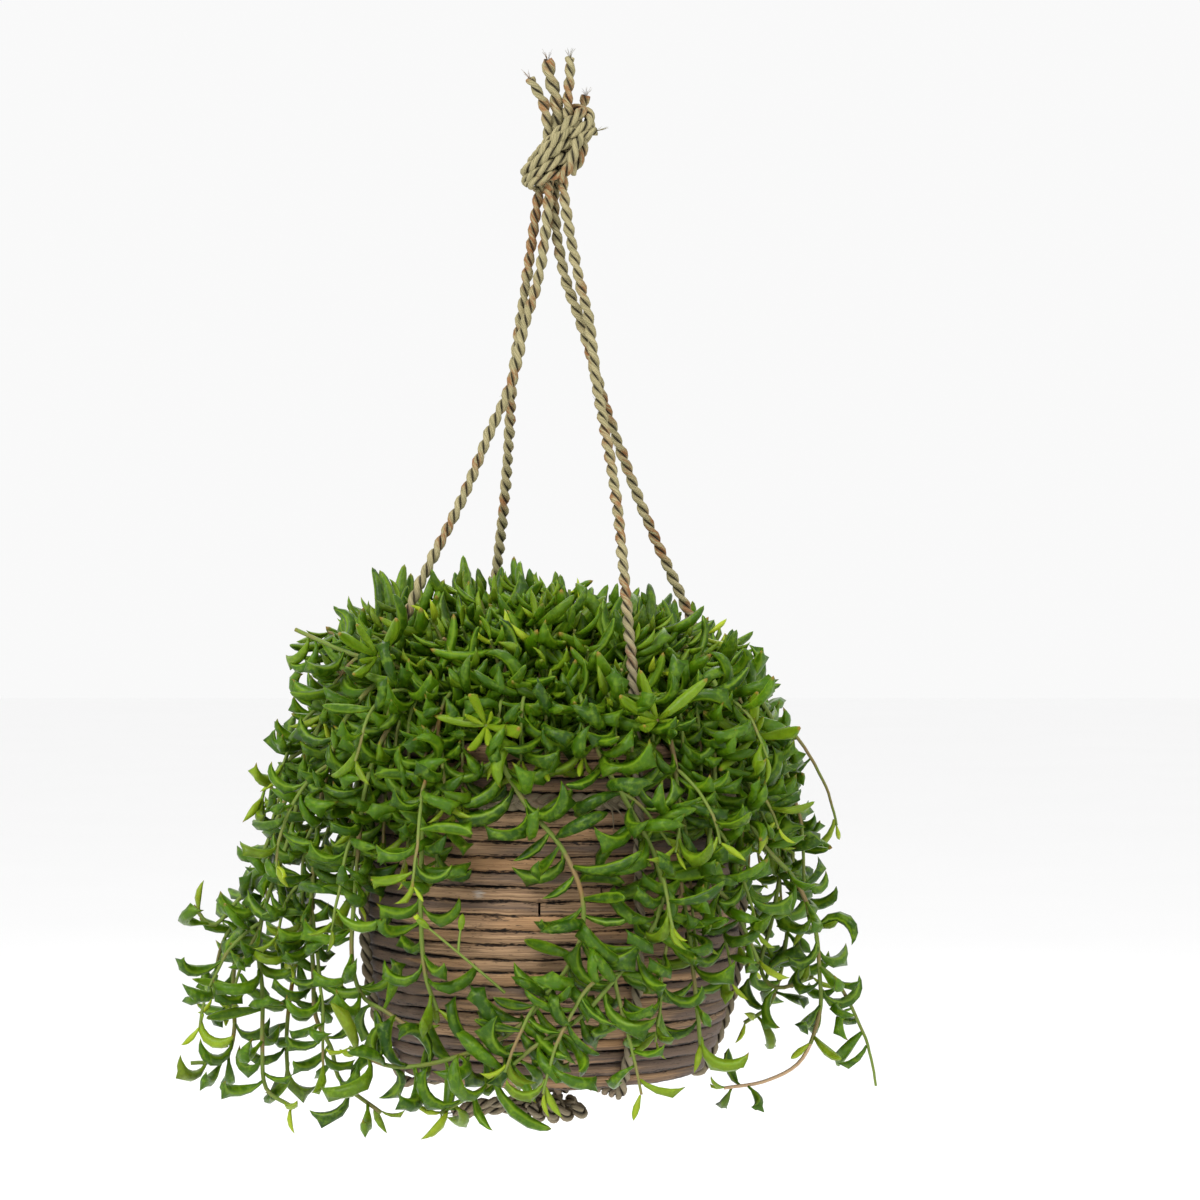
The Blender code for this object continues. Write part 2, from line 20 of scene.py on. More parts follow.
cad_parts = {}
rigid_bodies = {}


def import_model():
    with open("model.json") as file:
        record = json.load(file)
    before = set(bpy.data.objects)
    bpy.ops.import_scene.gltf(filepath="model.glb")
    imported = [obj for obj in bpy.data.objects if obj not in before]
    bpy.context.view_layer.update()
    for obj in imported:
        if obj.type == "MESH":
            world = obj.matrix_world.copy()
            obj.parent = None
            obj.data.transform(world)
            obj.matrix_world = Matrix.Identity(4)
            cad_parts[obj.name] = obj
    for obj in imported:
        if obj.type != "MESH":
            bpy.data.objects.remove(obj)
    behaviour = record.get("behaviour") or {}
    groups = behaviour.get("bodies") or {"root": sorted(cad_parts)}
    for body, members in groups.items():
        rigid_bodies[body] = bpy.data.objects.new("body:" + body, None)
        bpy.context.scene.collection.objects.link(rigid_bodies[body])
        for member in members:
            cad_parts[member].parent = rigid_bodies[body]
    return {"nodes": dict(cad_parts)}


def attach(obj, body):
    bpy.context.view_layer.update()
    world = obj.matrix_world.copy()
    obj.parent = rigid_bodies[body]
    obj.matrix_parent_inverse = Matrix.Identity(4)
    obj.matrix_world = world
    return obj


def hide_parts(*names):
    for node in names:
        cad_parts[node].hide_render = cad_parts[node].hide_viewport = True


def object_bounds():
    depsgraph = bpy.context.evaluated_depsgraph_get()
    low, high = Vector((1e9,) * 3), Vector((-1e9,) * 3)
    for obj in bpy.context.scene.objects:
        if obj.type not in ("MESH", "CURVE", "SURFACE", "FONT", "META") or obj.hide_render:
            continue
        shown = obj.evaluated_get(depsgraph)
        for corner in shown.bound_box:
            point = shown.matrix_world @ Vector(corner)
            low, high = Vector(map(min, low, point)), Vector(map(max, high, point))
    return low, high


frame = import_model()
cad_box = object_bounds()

MM = 0.001
print("solids in the frame:", len(frame["nodes"]))

# %% [markdown]
# ## The camera
# The photograph was taken with a long lens from the height of the plant, so the basket's rim is seen
# nearly edge on. A long lens far away keeps the ropes straight. The camera looks a little downwards.

# %% Place the camera
CAMERA_PLACE = (0.0243, -1.85, -0.1775)
CAMERA_TARGET = (0.0243, 0.0, -0.208)
CAMERA_ANGLE = 18.67  # degrees from the left to the right side of the picture

camera_data = bpy.data.cameras.new("camera")
camera = bpy.data.objects.new("camera", camera_data)
bpy.context.scene.collection.objects.link(camera)
camera.location = CAMERA_PLACE
camera.rotation_euler = (Vector(CAMERA_TARGET) - Vector(CAMERA_PLACE)).to_track_quat("-Z", "Y").to_euler()
camera_data.angle = math.radians(CAMERA_ANGLE)
bpy.context.scene.camera = camera
print("camera lens:", round(camera_data.lens, 1), "mm")

# %% [markdown]
# ## A small language for nodes
# Materials and geometry trees are both made of nodes. Writing each node and link by hand takes many
# lines, so two small classes help. Nodes adds one node of any type: its settings first, then a value or
# a link for each socket. Wire is what comes out of a node. Plus, minus, times and the others on a Wire
# add Math nodes, so a pattern reads like the sum that it is.


# %% Define the node helpers
class Wire:
    """What comes out of a node. Sums of wires and numbers become Math nodes."""

    def __init__(self, nodes, node, out=0):
        self.nodes = nodes
        self.node = node
        self.socket = node.outputs[out] if node.outputs else None

    def out(self, name):
        return Wire(self.nodes, self.node, name)

    def maths(self, operation, first, second=0.0):
        return self.nodes.add("ShaderNodeMath", {"operation": operation}, {0: first, 1: second})

    def __add__(self, other):
        return self.maths("ADD", self, other)

    def __radd__(self, other):
        return self.maths("ADD", other, self)

    def __sub__(self, other):
        return self.maths("SUBTRACT", self, other)

    def __rsub__(self, other):
        return self.maths("SUBTRACT", other, self)

    def __mul__(self, other):
        return self.maths("MULTIPLY", self, other)

    def __rmul__(self, other):
        return self.maths("MULTIPLY", other, self)

    def __truediv__(self, other):
        return self.maths("DIVIDE", self, other)

    def __rtruediv__(self, other):
        return self.maths("DIVIDE", other, self)

    def __pow__(self, other):
        return self.maths("POWER", self, other)

    def __abs__(self):
        return self.maths("ABSOLUTE", self)

    def at_least(self, other):
        return self.maths("MAXIMUM", self, other)

    def at_most(self, other):
        return self.maths("MINIMUM", self, other)


class Nodes:
    """Adds nodes to one tree."""

    def __init__(self, tree):
        self.tree = tree

    def add(self, kind, settings=None, sockets=None, out=0):
        node = self.tree.nodes.new(kind)
        for name, value in (settings or {}).items():
            if name == "stops":
                self.set_stops(node.color_ramp, value)
            else:
                setattr(node, name, value)
        for name, value in (sockets or {}).items():
            self.feed(node.inputs[name], value)
        return Wire(self, node, out)

    def feed(self, socket, value):
        if isinstance(value, Wire):
            self.tree.links.new(value.socket, socket)
        else:
            socket.default_value = value

    def set_stops(self, ramp, stops):
        while len(ramp.elements) < len(stops):
            ramp.elements.new(1.0)
        for element, (place, colour) in zip(ramp.elements, stops):
            element.position = place
            element.color = (*colour, 1.0)

    def ramp(self, value, stops):
        """Colours along a number from 0 to 1."""
        return self.add("ShaderNodeValToRGB", {"stops": stops}, {"Fac": value})

    def step(self, value, start, end, low=0.0, high=1.0):
        """A soft step of a value from low at the start to high at the end."""
        sockets = {"Value": value, "From Min": start, "From Max": end, "To Min": low, "To Max": high}
        return self.add("ShaderNodeMapRange", {"interpolation_type": "SMOOTHSTEP"}, sockets)

    def mix(self, factor, first, second, blend="MIX"):
        """Two colours mixed."""
        settings = {"data_type": "RGBA", "blend_type": blend, "clamp_factor": True}
        first = first if isinstance(first, Wire) else (*first, 1.0)
        second = second if isinstance(second, Wire) else (*second, 1.0)
        return self.add("ShaderNodeMix", settings, {0: factor, 6: first, 7: second}, out=2)

    def vector(self, x, y, z=0.0):
        return self.add("ShaderNodeCombineXYZ", None, {"X": x, "Y": y, "Z": z})

    def stretched(self, place, scale):
        """A place multiplied along each axis, which draws a pattern out along the others."""
        return self.add("ShaderNodeVectorMath", {"operation": "MULTIPLY"}, {0: place, 1: scale})

    def clouds(self, place, scale=1.0, detail=3.0, roughness=0.5):
        """Soft irregular spots, from 0 to 1."""
        sockets = {"Vector": place, "Scale": scale, "Detail": detail, "Roughness": roughness}
        return self.add("ShaderNodeTexNoise", None, sockets)

    def attribute(self, name, out="Fac"):
        return self.add("ShaderNodeAttribute", {"attribute_name": name}, None, out)


class Finish(Nodes):
    """A material: a Principled shader, whose fixed values are set on its own sockets."""

    def __init__(self, name, **fixed):
        self.material = bpy.data.materials.new(name)
        self.material.use_nodes = True
        super().__init__(self.material.node_tree)
        self.shader = self.tree.nodes["Principled BSDF"]
        for socket, value in fixed.items():
            self.shader.inputs[socket.replace("_", " ")].default_value = value

    def place(self):
        return self.add("ShaderNodeTexCoord", None, None, "Object")

    def paint(self, colour, roughness, height=None, depth=0.001):
        """Connect the varying colour and roughness, and bumps of a height given as 0 to 1."""
        self.feed(self.shader.inputs["Base Color"], colour)
        self.feed(self.shader.inputs["Roughness"], roughness)
        if height is not None:
            bump = self.add("ShaderNodeBump", None, {"Height": height, "Distance": depth, "Strength": 1.0})
            self.feed(self.shader.inputs["Normal"], bump)
        return self.material


print("node helpers ready")

# %% [markdown]
# ## Skinning tubes
# Ropes, plies, stems and fibres are all tubes along a path. A tube is a row of rings joined by faces.
# Each ring needs two directions across the path, and these must turn as little as possible from ring to
# ring, or the tube would look wrung out. The skin also gets a UV map: along the path in metres, and once
# round it from 0 to 1, so that grain can follow the fibres.

# %% Define paths and tubes
CURVE_PARTS = 16  # steps between two points of a route when it is smoothed


def smooth_curve(points):
    """Many points on a smooth curve through the given points."""
    points = [Vector(p) for p in points]
    ends = [2 * points[0] - points[1], *points, 2 * points[-1] - points[-2]]
    fine = []
    for before, start, end, after in zip(ends, ends[1:], ends[2:], ends[3:]):
        for part in range(CURVE_PARTS):
            t = part / CURVE_PARTS
            fine.append(
                0.5 * (2 * start + (end - before) * t + (2 * before - 5 * start + 4 * end - after) * t**2
                       + (3 * start - before - 3 * end + after) * t**3)
            )
    fine.append(points[-1])
    return fine


def evenly(points, step):
    """Points about a step apart on the smooth curve, and how far along it each one is."""
    fine = np.array(smooth_curve(points))
    lengths = np.concatenate([[0], np.cumsum(np.linalg.norm(np.diff(fine, axis=0), axis=1))])
    along = np.linspace(0, lengths[-1], max(3, round(lengths[-1] / step) + 1))
    path = np.stack([np.interp(along, lengths, fine[:, axis]) for axis in range(3)], axis=1)
    return path, along


def unit(rows):
    """Each row as a direction of length 1."""
    return rows / np.maximum(np.linalg.norm(rows, axis=-1, keepdims=True), 1e-12)


def frames(path):
    """For each point: the direction forward, and two across it that turn as little as possible."""
    forward = unit(np.gradient(path, axis=0))
    across = np.zeros_like(path)
    helper = np.eye(3)[np.argmin(np.abs(forward[0]))]
    for at, ahead in enumerate(forward):
        helper = helper - ahead * helper.dot(ahead)
        helper /= np.linalg.norm(helper)
        across[at] = helper
    return forward, across, np.cross(forward, across)


class Skin:
    """Collects tubes, in millimetres, and turns them into one mesh in metres."""

    def __init__(self):
        self.points = []
        self.faces = []
        self.corners = []
        self.count = 0

    def add_rings(self, rings, along):
        """Join a row of rings, each an array of places, and close both ends with a cone of faces."""
        rows, sides = rings.shape[:2]
        first = self.count
        row, side = np.meshgrid(np.arange(rows - 1), np.arange(sides), indexing="ij")
        low = first + row * sides + side
        low_next = first + row * sides + (side + 1) % sides
        quads = np.stack([low, low_next, low_next + sides, low + sides], axis=-1).reshape(-1, 4)
        self.faces += quads.tolist()
        u_low = along[row] * MM
        u_high = along[row + 1] * MM
        v_low = side / sides
        v_high = (side + 1) / sides
        uv = np.stack([u_low, v_low, u_low, v_high, u_high, v_high, u_high, v_low], axis=-1)
        self.corners.append(uv.reshape(-1, 2))
        self.points.append(rings.reshape(-1, 3))
        self.count += rows * sides
        for end, order in ((0, -1), (rows - 1, 1)):
            ring = [first + end * sides + side for side in range(sides)][::order]
            self.faces.append(ring)
            self.corners.append(np.tile([along[end] * MM, 0.5], (sides, 1)))

    def add_tube(self, path, along, radius, sides):
        """A tube of a radius, which may be one number for each point."""
        _, across, side_way = frames(path)
        turns = math.tau * np.arange(sides) / sides
        ring = (np.cos(turns)[None, :, None] * across[:, None] + np.sin(turns)[None, :, None] * side_way[:, None])
        radius = np.broadcast_to(radius, (len(path),))
        self.add_rings(path[:, None] + ring * radius[:, None, None], along)

    def mesh(self, name):
        made = bpy.data.meshes.new(name)
        made.from_pydata((np.concatenate(self.points) * MM).tolist(), [], self.faces)
        layer = made.uv_layers.new(name="grain")
        layer.data.foreach_set("uv", np.concatenate(self.corners).astype(np.float32).ravel())
        made.shade_smooth()
        return made


def outward_faces(mesh):
    """Turn all faces outward."""
    bm = bmesh.new()
    bm.from_mesh(mesh)
    bmesh.ops.recalc_face_normals(bm, faces=bm.faces)
    bm.to_mesh(mesh)
    bm.free()
    return mesh


def triangles(mesh):
    return sum(len(face.vertices) - 2 for face in mesh.polygons)


def add_piece(name, mesh, material, nodes):
    """Show a finished mesh as a piece that stands for its solids."""
    mesh.materials.clear()
    mesh.materials.append(material)
    piece = bpy.data.objects.new(name, mesh)
    bpy.context.scene.collection.objects.link(piece)
    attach(piece, "root")
    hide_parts(*nodes)
    print(f"{name}: {triangles(mesh)} triangles")
    return piece


def on_circle(angle, radius, height):
    """A point at an angle in degrees and a distance from the upright axis."""
    turn = math.radians(angle)
    return Vector((radius * math.cos(turn), radius * math.sin(turn), height))


print("tube helpers ready")

# %% [markdown]
# ## The seagrass
# Seagrass rope is a dry sedge, pale straw with a green tint, with orange-brown patches where the leaf
# sheaths were. Its fibres run along each ply. A noise that is drawn out far along the ply and little
# across it gives them, and the same noise lifts them as a bump. The edges of a ply, where it meets the
# other one, are darkened with painted shade. Lower down the rope is greyer and darker, partly weathered
# and partly painted shade under the leaves.

# %% Make the seagrass finish
STRAW_PALE = (0.40, 0.34, 0.185)
STRAW_GREEN = (0.20, 0.185, 0.085)
STRAW_ORANGE = (0.23, 0.085, 0.025)
STRAW_CRACK_AND_SEAM_SHADE = (0.020, 0.016, 0.010)
STRAW_WEATHERED_SHADE = (0.215, 0.175, 0.120)
FIBRES_ALONG = 110.0  # per metre
FIBRES_AROUND = 26.0


def make_seagrass(name, weathered_shaded_from, weathered_shaded_to):
    """Seagrass that is greyer and darker between two heights in metres, from the first down to the second: partly
    weathering, partly painted shade under the leaves.
    """
    finish = Finish(name, Specular_IOR_Level=0.25)
    grain = finish.add("ShaderNodeSeparateXYZ", None, {"Vector": finish.add(
        "ShaderNodeUVMap", {"uv_map": "grain"})})
    along = grain.out("X")
    around = grain.out("Y")
    place = finish.place()
    height = finish.add("ShaderNodeSeparateXYZ", None, {"Vector": place}).out("Z")
    fibre_place = finish.vector(along * FIBRES_ALONG, around * FIBRES_AROUND, height * 30.0)
    fibres = finish.clouds(fibre_place, 1.0, 4.0, 0.65)
    patches = finish.clouds(place, 55.0, 2.0)
    spots = finish.clouds(finish.vector(along * 300.0, around * 9.0, height * 80.0), 1.0, 2.0)
    colour = finish.mix(finish.step(fibres, 0.3, 0.7), STRAW_GREEN, STRAW_PALE)
    sheath = finish.step(patches, 0.50, 0.62) * finish.step(spots, 0.35, 0.6)
    colour = finish.mix(sheath * 0.85, colour, STRAW_ORANGE)
    # partly weathering, partly painted shade: the rope greys and darkens below the first height
    weathered_shade = finish.step(height, weathered_shaded_from, weathered_shaded_to, 0.0, 0.8)
    colour = finish.mix(weathered_shade, colour, STRAW_WEATHERED_SHADE)
    # painted shade where the two plies meet; the cracks between the fibres are darkened with it
    ply_seam_shade = finish.step(abs(around - 0.5), 0.20, 0.36)
    cracks = finish.step(fibres, 0.45, 0.28)
    colour = finish.mix((ply_seam_shade * 0.9 + cracks * 0.55).at_most(0.95), colour, STRAW_CRACK_AND_SEAM_SHADE)
    return finish.paint(colour, 0.7 + fibres * 0.3, fibres, 0.0006)


seagrass = make_seagrass("seagrass", -0.20, -0.27)
print("seagrass ready")

# %% [markdown]
# ## The ropes
# Each rope is two plies that wind round each other. It could be one tube with a bump, but then its
# outline would be smooth, and a twisted rope is known by its wavy outline. So each ply is its own tube
# on a helix. The plies are lumpy, with a few ridges that twist the other way, as laid fibres do.
#
# The routes are those of the solids: from the top knot, over the rim, down the wall and round the bottom
# edge to the knot below.

# %% Repeat the basket's outline and the rope routes
TOUCH = 0.3
RIM_Z = -277.0
BASE_Z = -445.0
BELLY_Z = -350.0
RIM_RADIUS = 91.0
BELLY_RADIUS = 95.3
BASE_RADIUS = 75.5
ROWS = 24
BRAID_ROW = 3
BRAID_HEIGHT = 9.0
BRAID_BULGE = 1.2
TOP_ROW_HEIGHT = 7.6
CANE_DEPTH = 6.0
CANE_ROUNDING = 1.6
ROPE_DIAMETER = 5.5
WALL_HEIGHTS = (-273, -292, -306, -324, -344, -364, -384, -404, -421, -434)
CORNER_TURNS = (0, 35, 65)
CORNER_SLACK = 1.0
GATHER_RADIUS = 5.6
GATHER_Z = -458.0
GATHER_STEPS = (5.5, 4.0, 2.0, 0.0)
ROPES = {
    "rope_front": (
        -64.0,
        [(5.6, -3, 0), (8.6, -3.2, -20), (13.7, -3.5, -46), (19, -4, -68), (22.3, -8, -98),
         (27, -20, -124), (33, -39, -163), (37, -61, -207), (40.5, -79, -248)],
    ),
    "rope_left": (
        -161.0,
        [(-1.5, -3, 0), (-3, -3.6, -20), (-7, -4, -46), (-13.5, -4, -68), (-20.5, -6, -98),
         (-32, -11, -125), (-46, -16, -159), (-67, -23.5, -202), (-82, -28.5, -240)],
    ),
    "rope_back": (
        113.0,
        [(-6.6, 3, 0), (-9.4, 3.1, -20), (-13, 3.3, -46), (-17, 3.6, -73), (-20, 6, -97),
         (-22, 18, -122), (-25, 38, -157), (-30, 60, -197), (-34.5, 77, -240)],
    ),
    "rope_right": (
        10.0,
        [(1, 3, 0), (2, 3.1, -20), (7, 3.2, -46), (14.5, 3.2, -67), (24, 3.8, -100),
         (33, 5.4, -127), (47, 8, -164), (66, 12, -207), (82, 14.5, -243)],
    ),
}


def barrel_radius(height):
    """The basket's outer radius at a height: a slow curve above the belly and a fuller one below."""
    if height > BELLY_Z:
        share = (height - BELLY_Z) / (RIM_Z - BELLY_Z)
        return BELLY_RADIUS - (BELLY_RADIUS - RIM_RADIUS) * share**2
    share = (BELLY_Z - height) / (BELLY_Z - BASE_Z)
    return BELLY_RADIUS - (BELLY_RADIUS - BASE_RADIUS) * share**3


def row_edges():
    """The top and bottom height of each row; the rows get evenly thinner from the rim down."""
    cane_rows = ROWS - 1
    mean = (RIM_Z - BASE_Z - BRAID_HEIGHT) / cane_rows
    edges = []
    top = RIM_Z
    cane = 0
    for row in range(ROWS):
        height = BRAID_HEIGHT
        if row != BRAID_ROW:
            height = mean + (TOP_ROW_HEIGHT - mean) * (1 - 2 * cane / (cane_rows - 1))
            cane += 1
        edges.append((top, top - height))
        top -= height
    return edges


ROW_EDGES = row_edges()


def rope_route(angle, upper):
    """The whole way of a rope: down to the rim, down the wall, round the bottom edge and to the base knot."""
    clear = ROPE_DIAMETER / 2 + TOUCH
    route = list(upper)
    for height in WALL_HEIGHTS:
        bulge = BRAID_BULGE if height > ROW_EDGES[BRAID_ROW + 1][1] else TOUCH
        route.append(on_circle(angle, barrel_radius(height) + bulge + clear, height))
    lowest_top, lowest_bottom = ROW_EDGES[-1]
    edge = barrel_radius((lowest_top + lowest_bottom) / 2) - CANE_ROUNDING
    for turn in CORNER_TURNS:
        reach = clear + CORNER_SLACK
        sideways = reach * math.cos(math.radians(turn))
        route.append(on_circle(angle, edge + sideways, BASE_Z - reach * math.sin(math.radians(turn))))
    under = BASE_Z - clear - 0.2
    route.append(on_circle(angle, 0.8 * edge, under))
    route.append(on_circle(angle, 0.4 * edge, under))
    route.append(on_circle(angle, 2.2 * GATHER_RADIUS, under - 0.5))
    for above in GATHER_STEPS:
        route.append(on_circle(angle, GATHER_RADIUS, GATHER_Z + above))
    return route


print("ropes to lay:", ", ".join(ROPES))

# %% Twist the ropes
ROPE_STEP = 1.3
TWIST_LENGTH = 15.2  # one full turn of a ply
PLY_RADIUS = 1.5
PLY_OFFSET = 1.4
PLY_SIDES = 12
PLY_RIDGES = 4
RIDGE_HEIGHT = 0.07
HAIR_RADIUS = 0.11


def lay_rope(skin, points, dice, hairs_each=6.0, thickness=1.0, step=ROPE_STEP):
    """Two lumpy plies wound round each other along a route, with fibres that stand off."""
    path, along = evenly(points, step)
    forward, across, side_way = frames(path)
    phase = dice.uniform(0, math.tau)
    for ply in range(2):
        turn = phase + math.pi * ply - math.tau * along / (TWIST_LENGTH * thickness)
        out = np.cos(turn)[:, None] * across + np.sin(turn)[:, None] * side_way
        lump = np.array([noise.noise((s * 0.13, ply * 7.0, phase)) for s in along])
        centre = path + out * (PLY_OFFSET * thickness * (1 + 0.12 * lump))[:, None]
        ply_forward = unit(np.gradient(centre, axis=0))
        out = unit(out - ply_forward * np.sum(out * ply_forward, axis=1)[:, None])
        ply_side = np.cross(ply_forward, out)
        around = math.tau * np.arange(PLY_SIDES) / PLY_SIDES + math.pi
        ridges = 1 + RIDGE_HEIGHT * np.cos(PLY_RIDGES * (around[None] + along[:, None] * 0.11 + phase))
        radius = PLY_RADIUS * thickness * (1 + 0.16 * lump)[:, None] * ridges
        ring = np.cos(around)[None, :, None] * out[:, None] + np.sin(around)[None, :, None] * ply_side[:, None]
        skin.add_rings(centre[:, None] + ring * radius[:, :, None], along + 100.0 * ply)
    for _ in range(int(along[-1] / 100 * hairs_each)):
        at = dice.randrange(3, len(path) - 3)
        turn = dice.uniform(0, math.tau)
        out = math.cos(turn) * across[at] + math.sin(turn) * side_way[at]
        start = path[at] + out * (PLY_OFFSET + 0.6) * thickness
        way = forward[at] * dice.choice((-1, 1)) * dice.uniform(1.0, 2.4)
        add_hair(skin, start, way, out * dice.uniform(0.3, 0.9))
    return path, along


def add_hair(skin, start, way, out):
    """A thin fibre that leaves the surface and bends away from it."""
    route = [start, start + way + out * 0.4, start + way * 2 + out * 1.4]
    hair, along = evenly(route, 1.2)
    skin.add_tube(hair, along, np.linspace(HAIR_RADIUS, HAIR_RADIUS * 0.4, len(hair)), 3)


dice = random.Random(5)
rope_paths = {}
for name, (angle, upper) in ROPES.items():
    skin = Skin()
    path, along = lay_rope(skin, rope_route(angle, upper), dice)
    twisted = f"{name}_plies"
    rope = add_piece(twisted, skin.mesh(twisted), seagrass, [name])
    rope_paths[name] = path
    print(name, "is", round(along[-1]), "mm long")

# %% [markdown]
# ## The top knot
# All four ropes are tied in one overhand knot, and the outside of it shows a band of passes side by
# side, which lean and get steeper towards the top. Knotting four ropes truly would hide most of the
# work inside. Here one rope is wound in a slanted coil, each turn a flattened loop with its own centre,
# length and slope, and stretches of rope inside carry on to the four free ends.

# %% Tie the top knot
KNOT_TURNS = [  # of each turn: centre x and z, half of its length and depth, slope in degrees
    (-3.0, 3.6, 9.0, 7.5, 12),
    (-1.8, 9.0, 11.8, 9.5, 24),
    (-2.2, 15.0, 13.4, 10.5, 30),
    (0.5, 21.5, 13.0, 10.5, 36),
    (4.5, 28.0, 13.6, 10.0, 42),
    (8.0, 34.0, 11.5, 8.0, 40),
]
KNOT_SIDES = [
    [(13, 2, 33), (14.5, -5, 28), (12, -9.5, 20), (9, -9, 11), (4, -6, 4)],
    [(18, 3, 36), (19.5, 1, 30), (16, -3, 24), (15, -4, 16), (10, -1, 8)],
    [(-2, 6, 30), (4, 8, 38), (12, 5, 41), (19, -1, 37), (17, -6, 31), (9, -8.5, 27)],
]
KNOT_ENDS = [
    [(-1.5, -3, -1), (-1, -3, 12), (-2, -3, 28), (-4, -4, 42), (-8, -5, 50), (-11, -5, 55)],
    [(-6.6, 3, -1), (-3, 2, 12), (2, 1, 28), (2, 0, 46), (-1, -1, 56), (-2, -1, 65)],
    [(5.6, -3, -1), (6, -2, 12), (8, -2, 28), (8, -2, 46), (9, -2, 56), (9, -2, 66)],
    [(1, 3, -1), (4, 4, 12), (10, 7, 26), (14, 9, 38), (16, 10, 44), (17, 10, 48)],
    [(10, -7, 21), (16, -7.5, 26), (22.5, -7, 28.5)],
]
KNOT_THICKNESS = (1.0, 1.2, 0.95, 0.9, 0.8)
TURN_PARTS = 10


def coil_points(turns):
    """Points on a flattened coil that changes smoothly from each turn to the next."""
    rows = np.array(turns, dtype=float)
    points = []
    for part in range(TURN_PARTS * (len(rows) - 1) + 1):
        at = part / TURN_PARTS
        centre_x, centre_z, half, depth, slope = (np.interp(at, range(len(rows)), rows[:, c]) for c in range(5))
        angle = math.tau * at + math.pi
        reach = half * math.cos(angle)
        tilt = math.radians(slope)
        points.append((centre_x + reach * math.cos(tilt), -depth * math.sin(-angle),
                       centre_z + reach * math.sin(tilt)))
    return points


def fray(skin, end, way, dice, count, spread, length):
    """A brush of loose fibres at a rope's end."""
    for _ in range(count):
        out = Vector((dice.uniform(-1, 1), dice.uniform(-1, 1), dice.uniform(-0.3, 0.3))) * spread
        add_hair(skin, Vector(end) + out * 0.4, Vector(way) * length * dice.uniform(0.3, 0.5), out)


skin = Skin()
dice = random.Random(8)
lay_rope(skin, coil_points(KNOT_TURNS), dice)
for route in KNOT_SIDES:
    lay_rope(skin, route, dice)
for route, thickness in zip(KNOT_ENDS, KNOT_THICKNESS):
    lay_rope(skin, route, dice, 10.0, thickness)
    way = (Vector(route[-1]) - Vector(route[-2])).normalized()
    fray(skin, route[-1], way, dice, 12, 1.6, 5.0)
top_knot = add_piece("top_knot_windings", skin.mesh("top_knot_windings"), seagrass, ["top_knot"])

# %% [markdown]
# ## The knot under the basket
# The four ropes come together under the floor and are tied once more. Five slanting wraps cover them,
# and two cut ends hang out to the left.

# %% Tie the base knot
BASE_WRAPS = 5
BASE_KNOT_HALF = (17.0, 12.5, 5.2)
BASE_KNOT_CENTRE = (-2.0, 0.0, -465.5)
BASE_WRAP_LEAN = 3.2
BASE_TAILS = [
    [(-6, -4, -463), (-24, -6, -462), (-38, -8, -463), (-50, -10, -467)],
    [(-4, 6, -465), (-20, 5, -467), (-34, 4, -468), (-46, 3, -470)],
]


def wrap_points(share):
    """One loop round the bundle, leaning to the right at its lower side."""
    half_x, half_y, half_z = BASE_KNOT_HALF
    centre = Vector(BASE_KNOT_CENTRE)
    x = (share * 2 - 1) * (half_x - ROPE_DIAMETER / 2)
    swell = math.sqrt(max(0.3, 1 - (share * 2 - 1) ** 2 * 0.6))
    points = []
    for part in range(TURN_PARTS + 1):
        angle = math.tau * part / TURN_PARTS + 0.5
        points.append(centre + Vector((x - BASE_WRAP_LEAN * math.sin(angle), -half_y * swell * math.cos(angle),
                                       half_z * swell * math.sin(angle))))
    return points


skin = Skin()
dice = random.Random(21)
for wrap in range(BASE_WRAPS):
    lay_rope(skin, wrap_points(wrap / (BASE_WRAPS - 1)), dice)
for route in BASE_TAILS:
    lay_rope(skin, route, dice, 14.0)
    fray(skin, route[-1], (-1, 0, -0.1), dice, 12, 1.6, 5.0)
base_knot = add_piece("base_knot_windings", skin.mesh("base_knot_windings"), seagrass, ["base_knot"])

# %% [markdown]
# ## Split cane
# The wall is stacked rows of split cane, flat inside and rounded outside. In the middle they are worn
# pale and painted lighter, as if lit from the front, and towards the sides they turn grey with weathering
# and painted shade. They have fine streaks along the grain, dark specks, and dark rims of bark that are
# deepened with painted shade where the rows meet. A material can only follow the grain if it knows where
# along the cane a point is, so the geometry stores three numbers on each point: the way along, the way
# across from -1 to 1, and a shade of its own for each cane.

# %% Make the cane finish
CANE_PALE = (0.42, 0.265, 0.142)
CANE_TAN = (0.17, 0.098, 0.050)
CANE_GREY = (0.082, 0.058, 0.047)
CANE_HONEY = (0.40, 0.215, 0.088)
CANE_BARK_AND_SEAM_SHADE = (0.010, 0.006, 0.004)
WORN_AND_LIT_FROM = -0.050  # metres; the front is paler, partly worn and partly painted light, more and more up to the second place
WORN_AND_LIT_TO = -0.086
CHALK = (0.60, 0.58, 0.54)
SMEARS = [(-0.031, -0.092, -0.306), (-0.036, -0.093, -0.349)]  # where chalky drops dried on the wall
SMEAR_REACH = 0.006


